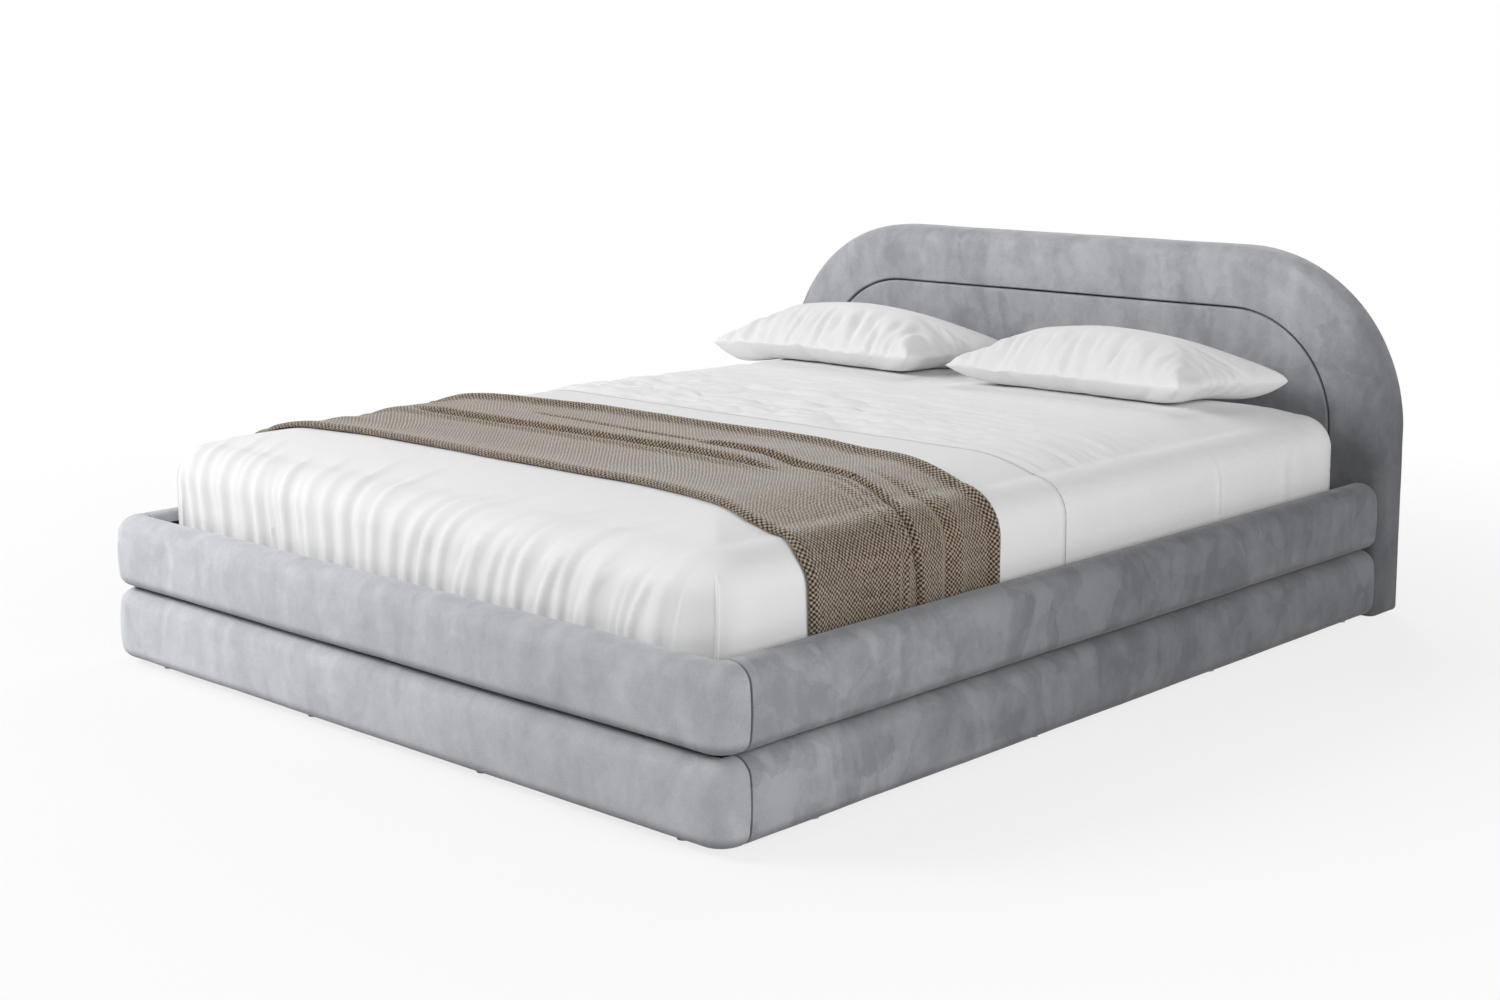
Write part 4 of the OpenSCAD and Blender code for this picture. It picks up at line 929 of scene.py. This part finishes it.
class BED_OT_top_sheet(bpy.types.Operator):
    """Lays the top sheet over the foot end, with fanned folds at the foot and a tuck at the corners"""
    bl_idname = "bed.top_sheet"
    bl_label = "Top Sheet"

    def execute(self, context):
        sizes, tints = context.scene.bed_bedding, context.scene.bed_colours
        cotton = cotton_cloth("cotton_percale_top", tints.cotton)
        outside = 4.3 * MM
        edge_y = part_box("top_sheet")[1][1]
        core_x, core_y = core(sizes)
        side = down_to(HEM, outside, sizes)
        xs = over_edges(core_x, side, 8 * MM, 7 * MM)
        ys = spaced((-core_y - side, 0.10 - core_y, 8 * MM), (0.10 - core_y, edge_y - BED_MIDDLE, 12 * MM))
        flat_x, flat_y = np.meshgrid(xs, ys + BED_MIDDLE, indexing="ij")
        points, over = on_bed(flat_x, flat_y, outside, sizes)
        normal = facing(points, False)
        # The folds start above the edge, widen on the way down and draw together towards the middle
        foot_over = np.clip(-core_y - (flat_y - BED_MIDDLE), -0.12, 1)
        lift = np.zeros_like(flat_x)
        for place, width, height, start in foot_folds(7):
            down = np.clip((foot_over - start) / (side - start), 0, 1)
            swing = np.interp(place, [-0.8, -0.35, -0.12, 0.05, 0.25, 0.5, 0.7],
                              [-0.09, -0.05, 0.0, 0.15, 0.20, 0.18, 0.11])
            centre = place + swing * (1 - down) ** 2.3
            spread = width * (1.35 - 0.45 * down)
            away = (flat_x - centre) / spread
            ridge = np.exp(-np.abs(away * np.where(away > 0, 1.5, 0.75)) ** 1.25)
            lift += sizes.fold * height * ridge * np.minimum(1, down * 2.4) ** 0.8
        # Fine creases run along the folds
        swing = np.interp(flat_x, [-0.8, -0.35, -0.12, 0.2, 0.45, 0.7],
                          [-0.09, -0.05, 0.0, 0.16, 0.19, 0.14])
        down = np.clip((foot_over + 0.03) / (side + 0.03), 0, 1)
        along = np.stack([flat_x - swing * (1 - down) ** 2.3, 0.10 * foot_over, np.zeros_like(flat_x)], -1)
        fine = 1.8 * unevenness(along, 0.012, 3.0) + 2.2 * unevenness(along, 0.03, 4.0)
        lift += MM * fine * np.clip((foot_over + 0.05) / 0.09, 0, 1)
        inside = np.clip((core_x + 0.055 - np.abs(flat_x)) / 0.06, 0, 1)
        lift = sizes.fold * np.tanh(np.maximum(lift, 0) / sizes.fold) * 1.15 * inside
        # Soft creases on the top and down the sides
        lift += 0.9 * MM * unevenness(points, 0.11, 31.0) + 0.5 * MM * unevenness(points, 0.04, 33.0)
        # The rear hem stands off a little, most on the sides
        hem = np.clip(1 - (edge_y - points[..., 1]) / (9 * MM), 0, 1)
        lift += (1.0 + 2.4 * np.clip(over / 0.08, 0, 1)) * MM * hem
        points = points + normal * lift[..., None]
        flat = np.stack([flat_x, flat_y], -1)
        piece = make_cloth("top_sheet_cloth", points, flat, 2.0 * MM, cotton, "mattress",
                           ["top_sheet"])
        tucks = [self.tuck(cotton, sizes, outside, side, s) for s in (-1, 1)]
        # Painted shade: a dark grey cord along the rear hem draws the hem's shadow line
        tucks.append(self.piping(points[:, -1], normal[:, -1]))
        return {"FINISHED"}

    def piping(self, edge, out):
        """A thin grey cord behind the sheet's rear hem, whose dark colour is painted shade for the shadow
        line under the hem.
        """
        # Painted shade: twisted cotton cord, matt and darker than the sheet, that draws the hem's shadow
        # line
        cord = speckled("grey_cord_painted_shade", linear("77787d"), linear("595a5f"), 2 * MM, 0.0003, Roughness=0.9)
        rows = []
        for spot, away in zip(edge[::2], out[::2]):
            centre = spot - away * 1.5 * MM + [0, 2.0 * MM, 0]
            rows.append([centre + 1.6 * MM * (away * math.sin(a) + np.array([0, math.cos(a), 0]))
                         for a in [math.tau * k / 8 for k in range(8)]])
        return make_loft("sheet_hem_painted_shadow_cord", np.array(rows), cord, "mattress")

    def tuck(self, cotton, sizes, outside, side, hand):
        """The pinched fold of cloth that runs down a foot corner."""
        core_x, core_y = core(sizes)
        rows = []
        for k in range(41):
            t = k / 40
            s = 0.075 + (side - 0.075) * t
            flat_x = np.array([hand * (core_x + s * 0.985)])
            flat_y = np.array([BED_MIDDLE - core_y - s])
            spot, _ = on_bed(flat_x, flat_y, outside, sizes)
            spot = Vector(spot[0])
            out = Vector((hand, -1, 0)).normalized()
            across = Vector((1, hand, 0)).normalized()
            tall = 5.5 * MM * min(1, 6 * t) * (1 - 0.25 * t)
            wide = 3.0 * MM * min(1, 5 * t + 0.15) + 1.2 * MM * t
            spot += across * 2.0 * MM * math.sin(4.2 * t)
            rows.append([tuple(spot + across * wide * math.cos(a) + out * tall * math.sin(a))
                         for a in [math.pi * j / 10 for j in range(11)]]
                        + [tuple(spot - across * wide * 0.5 - out * 1.5 * MM),
                           tuple(spot + across * wide * 0.5 - out * 1.5 * MM)])
        points = np.array(rows)
        name = "sheet_tuck_right" if hand > 0 else "sheet_tuck_left"
        return make_loft(name, points, cotton, "mattress")


class BED_OT_woven_throw(bpy.types.Operator):
    """Lays the woven throw across the bed, with long folds that turn into creases down the sides"""
    bl_idname = "bed.woven_throw"
    bl_label = "Woven Throw"

    def execute(self, context):
        sizes, tints = context.scene.bed_bedding, context.scene.bed_colours
        weave = two_tone_weave("woven_acrylic_throw", tints.yarn_light, tints.yarn_dark, sizes.yarn)
        outside = 9.3 * MM
        low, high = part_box("throw_blanket")
        width = high[1] - low[1]
        core_x, _ = core(sizes)
        side = down_to(HEM, outside, sizes)
        xs = over_edges(core_x, side, 8 * MM, 11 * MM)
        ys = spaced((low[1], high[1], 3.4 * MM))
        flat_x, flat_y = np.meshgrid(xs, ys, indexing="ij")
        # Over the bed's edges the throw's own edges swing towards the foot
        share = (flat_y - low[1]) / width
        edge = np.abs(flat_x) - core_x
        front = np.interp(edge, [-0.31, -0.16, -0.03, 0.04, 0.09, 0.14, side],
                          [0.010, -0.012, -0.038, -0.024, -0.034, -0.024, -0.012])
        rear = np.interp(edge, [-0.35, -0.16, -0.06, 0.0, 0.05, 0.14, side],
                         [-0.022, -0.026, -0.040, -0.044, -0.048, -0.046, -0.046])
        rear -= 0.045 * np.clip((-0.25 - flat_x) / 0.35, 0, 1) * np.clip((0.12 - edge) / 0.1, 0, 1)
        wave = np.stack([flat_x, share * 0.3, np.zeros_like(flat_x)], -1)
        moved = flat_y + (1 - share) * front + share * rear
        moved += 3.5 * MM * unevenness(wave, 0.13, 51.0) * np.abs(2 * share - 1)
        points, _ = on_bed(flat_x, moved, outside, sizes)
        normal = facing(points, False)
        from_edge = moved - low[1]
        rises, slits, ridges = self.folds()
        tall = sizes.throw_fold
        lift, pull = np.zeros_like(flat_x), np.zeros_like(flat_x)
        for path, face, height, behind in rises:
            away, fade = self.across(flat_x, from_edge, path)
            step = np.clip(1 + away / face, 0, 1)
            slope = np.exp(-np.clip(away, 0, 1) / behind)
            lift += fade * height * tall * step ** 2 * (3 - 2 * step) * slope
            pull -= fade * 0.45 * height * tall * np.exp(-(away / (0.8 * face)) ** 2)
        for path, half, height in ridges + slits:
            away, fade = self.across(flat_x, from_edge, path)
            lift += fade * height * tall * np.exp(-np.abs(away / half) ** 1.8)
        # Both long edges are rolled in, and the rear one stands up
        far = np.clip(flat_y - low[1], 0, 1)
        near_rear = np.clip(high[1] - flat_y, 0, 1)
        lift += 0.70 * tall * (1 - np.exp(-(far / (9 * MM)) ** 1.3)) * np.exp(-far / 0.05)
        lift += 0.85 * tall * np.exp(-((near_rear - 17 * MM) / (15 * MM)) ** 2)
        lift *= 1 - np.exp(-(near_rear / (7 * MM)) ** 1.4)
        lift += 1.1 * MM * unevenness(points, 0.09, 53.0, (0.4, 1, 1))
        lift += 0.5 * MM * unevenness(points, 0.03, 57.0)
        points = points + normal * np.clip(lift, -0.8 * MM, 22 * MM)[..., None]
        points[..., 1] += pull
        limit = INSIDE - 1.5 * MM
        beside = points[..., 2] < RAIL_HIGH[2] + 8 * MM
        points[..., 0] = np.where(beside, np.clip(points[..., 0], -limit, limit), points[..., 0])
        # The weave follows the cloth over its folds, measured across from the front edge
        steps = np.linalg.norm(np.diff(points, axis=1), axis=2)
        cloth_y = low[1] + np.concatenate([np.zeros((len(xs), 1)), np.cumsum(steps, axis=1)], axis=1)
        flat = np.stack([flat_x, cloth_y], -1)
        piece = make_cloth("throw_cloth", points, flat, 4.0 * MM, weave, "throw",
                           ["throw_blanket"])
        return {"FINISHED"}

    def across(self, flat_x, from_edge, path):
        """How far each point is from a fold's path, and how much of the fold is left there."""
        xs, ys = zip(*path)
        away = from_edge - np.interp(flat_x, xs, ys)
        ends = np.clip(np.minimum(flat_x - xs[0], xs[-1] - flat_x) / 0.13 + 0.02, 0, 1)
        return away, ends ** 2 * (3 - 2 * ends)

    def folds(self):
        """The throw's folds as paths of (place across the bed, distance from the front edge), in metres of
        cloth. Rises have a face, a height and the length of the slope behind; slits and ridges have a
        half width and a height. Heights are shares of the main fold's."""
        main = [(-1.20, 0.250), (-0.80, 0.262), (-0.62, 0.262), (-0.45, 0.262), (-0.2, 0.278),
                (0.05, 0.282), (0.26, 0.280), (0.50, 0.262)]
        over = [(x, y + 0.011) for x, y in main[2:]]
        turning = [(0.16, 0.352), (0.33, 0.348), (0.50, 0.334), (0.63, 0.322), (0.72, 0.296), (0.78, 0.272),
                   (0.84, 0.264), (0.88, 0.274), (1.12, 0.288)]
        rises = [(main, 0.036, 0.60, 0.22), (over, 0.008, 0.45, 0.20), (turning, 0.012, 0.66, 0.11)]
        slits = [
            ([(x, y - 0.011) for x, y in over], 0.0075, -0.62),
            ([(-0.36, 0.384), (-0.19, 0.380), (-0.04, 0.364), (0.07, 0.358), (0.24, 0.354)], 0.0065, -0.75),
            ([(x, y - 0.013) for x, y in turning], 0.0045, -0.42),
            ([(0.58, 0.372), (0.72, 0.352), (0.86, 0.345), (1.12, 0.338)], 0.010, -0.38),
        ]
        ridges = [
            ([(0.50, 0.312), (0.70, 0.270), (0.79, 0.245), (0.87, 0.235), (1.12, 0.232)], 0.010, 0.40),
            ([(0.55, 0.280), (0.74, 0.235), (0.84, 0.212), (1.12, 0.200)], 0.012, 0.32),
            ([(0.60, 0.240), (0.80, 0.190), (1.12, 0.165)], 0.015, 0.20),
            ([(0.64, 0.410), (0.82, 0.385), (1.12, 0.380)], 0.016, 0.25),
            ([(-1.15, 0.100), (-0.80, 0.105), (-0.50, 0.110)], 0.020, 0.20),
        ]
        return rises, slits, ridges


# ---------------------------------------------------------------- pillows

# Width and depth of an empty pillow case, its points each way, and the steps that its filling takes
CASE_WIDE, CASE_DEEP = 750 * MM, 510 * MM
CASE_COLUMNS, CASE_ROWS = 86, 60
FILLING_STEPS = 23


def flat_case(seed):
    """An empty pillow case: two panels a few millimetres apart that share their sewn edge. Gives points,
    faces, and each point's place across and along the case, from -1 to 1."""
    u, v = np.meshgrid(np.linspace(-1, 1, CASE_COLUMNS), np.linspace(-1, 1, CASE_ROWS), indexing="ij")
    from_edge = np.minimum(1 - np.abs(u), 1 - np.abs(v))
    loose = np.clip(from_edge * 6, 0, 1)
    flat = np.stack([u * CASE_WIDE / 2, v * CASE_DEEP / 2, np.zeros_like(u)], -1)
    panels = []
    for side in (1, -1):
        panel = flat.copy()
        panel[..., 2] = loose * (side * 4 * MM + 2.5 * MM * unevenness(flat, 0.07, seed + side))
        panels.append(panel.reshape(-1, 3))
    top = np.arange(u.size).reshape(u.shape)
    under = np.where(from_edge == 0, top, top + u.size)
    faces = np.stack([top[:-1, :-1], top[1:, :-1], top[1:, 1:], top[:-1, 1:]], -1).reshape(-1, 4)
    backs = np.stack([under[:-1, :-1], under[:-1, 1:], under[1:, 1:], under[1:, :-1]], -1).reshape(-1, 4)
    used, numbers = np.unique(np.concatenate([faces, backs]), return_inverse=True)
    places = np.tile(np.stack([u, v], -1).reshape(-1, 2), (2, 1))[used]
    return np.concatenate(panels)[used], numbers.reshape(-1, 4).tolist(), places


def fill(piece):
    """Fills a flat case by a cloth simulation with pressure inside, and gives its points."""
    cloth = piece.modifiers.new("filling", "CLOTH")
    settings = cloth.settings
    settings.quality = 5
    settings.mass = 0.2
    settings.tension_stiffness = settings.compression_stiffness = 8
    settings.shear_stiffness = 5
    settings.bending_stiffness = 0.06
    settings.use_pressure = True
    settings.uniform_pressure_force = 4.0
    settings.effector_weights.gravity = 0.0
    cloth.collision_settings.use_collision = False
    cloth.point_cache.frame_start, cloth.point_cache.frame_end = 1, FILLING_STEPS
    for step in range(1, FILLING_STEPS + 1):
        bpy.context.scene.frame_set(step)
    graph = bpy.context.evaluated_depsgraph_get()
    filled = piece.evaluated_get(graph)
    points = np.array([v.co[:] for v in filled.to_mesh().vertices])
    filled.to_mesh_clear()
    piece.modifiers.clear()
    bpy.context.scene.frame_set(1)
    return points


class BED_OT_pillows(bpy.types.Operator):
    """Makes the two pillows: flat cases filled by a cloth simulation, which then settle on the bed"""
    bl_idname = "bed.pillows"
    bl_label = "Pillows"

    def execute(self, context):
        tints, bedding = context.scene.bed_colours, context.scene.bed_bedding
        cotton = cotton_cloth("cotton_pillow_case", tints.cotton)
        for which, seed, middle in (("left", 3.7, 0.50), ("right", 8.7, 0.45)):
            node = f"pillow_{which}"
            low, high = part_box(node)
            points, faces, places = flat_case(seed)
            piece = make_piece(f"pillow_case_{which}", points, faces, cotton, node, [node],
                               merge=False, sharp=80)
            points = fill(piece)
            points = self.settled(points, places, low, high, middle, bedding)
            piece.data.vertices.foreach_set("co", points.astype(np.float32).ravel())
            piece.data.update()
            smooth = piece.modifiers.new("smooth skin", "SUBSURF")
            smooth.levels = smooth.render_levels = 1
            settle(piece)
        return {"FINISHED"}

    def settled(self, points, places, low, high, middle, bedding):
        """Sets a filled pillow down in its box, with its middle at a share of the box's width: domed above
        its seam, and flattened below it by the bed."""
        wide, deep, tall = high[0] - low[0], high[1] - low[1], high[2] - low[2]
        below = 0.32 * tall
        corner = np.abs(points[np.abs(places).sum(axis=1) > 1.999]).mean(axis=0)
        # The filling keeps the sides nearly straight between the corners
        across, along = (0.35 * points[:, :2] / corner[:2] + 0.65 * places).T
        u, v = np.clip(across, -1, 1), np.clip(along, -1, 1)
        share = points[:, 2] / points[:, 2].max()
        full = np.sign(share) * np.abs(share) ** (0.80 - 0.24 * np.clip(u, 0, 1))
        dome = 0.72 + 0.28 * (1 - np.abs(u + 0.04) ** 2.6) * (1 - np.abs(v) ** 2.4)
        up = (tall - below) * full * dome
        down = -below * np.tanh(-share * (tall - below) / (0.85 * below))
        # The case is a little narrower in front, and its right end lies back
        x = low[0] + wide * (middle + across * (0.462 + 0.024 * along) + 0.034 * along)
        y = low[1] + deep * (0.561 + along * 0.390 - 0.012 * across * along)
        surface, _ = on_bed(x, y, 0, bedding)
        sag = surface[:, 2] - BED_HIGH[2]
        # Short gathers run down from the dome to the front seam
        spots = np.column_stack([x, y, np.zeros_like(x)])
        gather = (unevenness(spots, 0.016, 7.0 + middle, (1, 0.22, 1))
                  + 0.7 * unevenness(spots, 0.034, 9.0, (1, 0.3, 1)))
        front = np.clip((-0.15 - v) / 0.35, 0, 1) * np.clip((1 - np.abs(v)) * 12, 0, 1)
        up = up + np.where(share > 0, 10 * MM * gather * front, 0)
        y = y - np.where(share > 0, 5 * MM * gather * front, 0)
        rests = 0.2 + 0.8 * np.clip(-down / below, 0, 1)
        z = low[2] + below + np.where(share > 0, up + 0.2 * sag, down + rests * sag)
        return np.stack([x, np.minimum(y, HEAD_Y - CLEAR), z], -1)


# ---------------------------------------------------------------- timber, metal and small parts

class BED_OT_timber_and_metal(bpy.types.Operator):
    """Gives the frame's boards, slats, ironwork, glides and feet their finishes"""
    bl_idname = "bed.timber_and_metal"
    bl_label = "Timber and Metal"

    def execute(self, context):
        tints = context.scene.bed_colours
        pine_x = sawn_wood("planed_pine_crosswise", tints.pine, 0)
        pine_y = sawn_wood("planed_pine_lengthwise", tints.pine, 1)
        pine_z = sawn_wood("planed_pine_upright", tints.pine, 2)
        birch = sawn_wood("sanded_birch", tints.birch, 0, ring=5.0)
        ply = sawn_wood("birch_plywood", linear("cfae7e"), 0, ring=3.0)
        # Zinc-plated steel: bluish, bright but slightly cloudy
        zinc = speckled("zinc_plated_steel", linear("cfd2d6"), linear("a9adb3"), 6 * MM, 0.0001,
                        Metallic=1.0, Roughness=0.32)
        # Moulded natural nylon: milky, with the fine grain of a spark-eroded mould
        nylon = speckled("moulded_nylon", linear("cfcdc6"), linear("b9b7b0"), 0.9 * MM, 0.0002,
                         Roughness=0.48, Specular_IOR_Level=0.5)
        webbing = ribbed("polyester_webbing", linear("3a3a3d"), linear("151516"), 1.6 * MM, "Y",
                         Roughness=0.85, Specular_IOR_Level=0.3)
        finishes = {
            pine_x: ["headboard_mounting_board", "foot_rail_board", "head_rail_board", "foot_plinth_board",
                     "head_plinth_board", "foot_ledger", "head_ledger", "headboard_frame"],
            pine_y: ["side_rail_board_left", "side_rail_board_right", "side_plinth_board_left",
                     "side_plinth_board_right", "side_ledger_left", "side_ledger_right", "centre_beam"],
            pine_z: ["centre_legs"],
            birch: ["slats"],
            ply: ["headboard_panel"],
            zinc: ["corner_brackets", "bracket_screws", "ledger_screws", "beam_hangers", "hanger_screws",
                   "leg_bolts", "threaded_inserts", "headboard_bolts", "headboard_tee_nuts"],
            nylon: ["base_glides", "headboard_glides", "levelling_foot_front", "levelling_foot_middle",
                    "levelling_foot_rear"],
            webbing: ["slat_tapes"],
        }
        for material, nodes in finishes.items():
            for node in nodes:
                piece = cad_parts[node]
                for slot in piece.material_slots:
                    slot.material = material
                if not piece.material_slots:
                    piece.data.materials.append(material)
        return {"FINISHED"}


# ---------------------------------------------------------------- studio

class BED_OT_studio(bpy.types.Operator):
    """Sets up the floor, the lights, the world and the camera"""
    bl_idname = "bed.studio"
    bl_label = "Studio"

    def execute(self, context):
        scene = context.scene
        scene.view_settings.view_transform = "Standard"
        self.floor()
        self.world(scene)
        bed, headboard = (0, 0, 0.3), (0, 0.2, 0.4)
        self.lamp("key", (-3.6, -4.4, 3.6), bed, 2.6, 295)
        self.lamp("left", (-4.8, -1.6, 3.4), bed, 2.6, 50)
        self.lamp("right", (5.5, -0.3, 2.2), bed, 3.6, 122)
        self.lamp("right front", (4.6, -3.6, 2.4), bed, 3.0, 70)
        self.lamp("behind", (-1.6, 3.2, 3.4), headboard, 2.4, 62)
        # The lens, the height of the frame, the place and the direction are those found from the photo
        data = bpy.data.cameras.new("camera")
        data.lens = 53.019
        data.sensor_width = 36
        data.shift_y = -0.08
        data.clip_end = 60
        camera = bpy.data.objects.new("camera", data)
        camera.location = (3.18542, -3.5005, 1.24131)
        camera.rotation_euler = (math.pi / 2 - 0.14127, 0, 0.75203)
        scene.collection.objects.link(camera)
        scene.camera = camera
        return {"FINISHED"}

    def lamp(self, name, place, aim, size, power):
        """A round soft light at a place, turned towards an aim."""
        light = bpy.data.lights.new(name, "AREA")
        light.shape = "DISK"
        light.size = size
        light.energy = power
        ob = bpy.data.objects.new(name, light)
        ob.location = place
        ob.rotation_euler = (Vector(aim) - Vector(place)).to_track_quat("-Z", "Y").to_euler()
        bpy.context.scene.collection.objects.link(ob)

    def floor(self):
        """A pale floor that looks white to the camera, and keeps the bed's shadow near the bed. It is 60 m
        wide, so that it reaches behind everything."""
        half = 30.0
        mesh = bpy.data.meshes.new("studio_floor")
        corners = [(-half, -half, 0), (half, -half, 0), (half, half, 0), (-half, half, 0)]
        mesh.from_pydata(corners, [], [(0, 1, 2, 3)])
        material = bpy.data.materials.new("matt_studio_floor")
        material.use_nodes = True
        tree = material.node_tree
        tree.nodes.clear()
        plain = add(tree, "BsdfDiffuse", {"Color": linear("e8e8e8")})
        white = add(tree, "Emission", {"Color": (1, 1, 1, 1), "Strength": 1.0})
        place = add(tree, "TexCoord", out="Object")
        # Its own light takes over from 1.3 m to 3.2 m from the bed's middle
        away = add(tree, "VectorMath", {"operation": "LENGTH", 0: place}, "Value")
        far = add(tree, "MapRange", {"From Min": 1.3, "From Max": 3.2, "To Min": 0.78, "To Max": 1.0,
                                     "Value": away})
        share = add(tree, "Math", {"operation": "MULTIPLY", 0: self.seen(tree), 1: far})
        both = add(tree, "MixShader", {0: share, 1: plain, 2: white})
        add(tree, "OutputMaterial", {"Surface": both})
        mesh.materials.append(material)
        floor = bpy.data.objects.new("studio_floor", mesh)
        bpy.context.scene.collection.objects.link(floor)

    def seen(self, tree):
        """1 where the camera sees it, also in or through something, and 0 for the light it gives."""
        share = add(tree, "LightPath", out="Is Camera Ray")
        for kind in ("Is Glossy Ray", "Is Transmission Ray"):
            share = add(tree, "Math", {"operation": "ADD", "use_clamp": True, 0: share,
                                       1: add(tree, "LightPath", out=kind)})
        return share

    def world(self, scene):
        """White to the camera, and a soft even light on the bed."""
        world = bpy.data.worlds.new("studio")
        world.use_nodes = True
        tree = world.node_tree
        tree.nodes.clear()
        soft = add(tree, "Background", {"Color": (1, 1, 1, 1), "Strength": 0.12})
        white = add(tree, "Background", {"Color": (1, 1, 1, 1), "Strength": 1.0})
        both = add(tree, "MixShader", {0: self.seen(tree), 1: soft, 2: white})
        add(tree, "OutputWorld", {"Surface": both})
        scene.world = world


# ---------------------------------------------------------------- panel and registration

STEPS = ("padded_tiers", "padded_headboard", "black_linings", "quilted_mattress", "fitted_sheet",
         "top_sheet", "woven_throw", "pillows", "timber_and_metal", "studio")
GROUPS = {"bed_tiers": BedTierSizes, "bed_headboard": BedHeadboardSizes, "bed_bedding": BedBeddingSizes,
          "bed_colours": BedColours}


class BED_PT_panel(bpy.types.Panel):
    """Sizes, colours and steps of the bed"""
    bl_idname = "BED_PT_panel"
    bl_label = "Upholstered Bed"
    bl_space_type = "VIEW_3D"
    bl_region_type = "UI"
    bl_category = "Bed"

    def draw(self, context):
        for name in GROUPS:
            box = self.layout.box()
            group = getattr(context.scene, name)
            for prop in group.bl_rna.properties:
                if prop.identifier not in ("rna_type", "name"):
                    box.prop(group, prop.identifier)
        for step in STEPS:
            self.layout.operator(f"bed.{step}")


CLASSES = (*GROUPS.values(), BED_OT_padded_tiers, BED_OT_padded_headboard, BED_OT_black_linings,
           BED_OT_quilted_mattress, BED_OT_fitted_sheet, BED_OT_top_sheet, BED_OT_woven_throw,
           BED_OT_pillows, BED_OT_timber_and_metal, BED_OT_studio, BED_PT_panel)


def register():
    """Adds the classes, and the groups of sizes and colours to the scene."""
    for cls in CLASSES:
        bpy.utils.register_class(cls)
    for name, group in GROUPS.items():
        setattr(bpy.types.Scene, name, PointerProperty(type=group))


def unregister():
    """Takes them away again, in the opposite order."""
    for name in GROUPS:
        delattr(bpy.types.Scene, name)
    for cls in reversed(CLASSES):
        bpy.utils.unregister_class(cls)


def main():
    """Builds everything in order."""
    register()
    for step in STEPS:
        getattr(bpy.ops.bed, step)()
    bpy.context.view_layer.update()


if __name__ == "__main__":
    main()
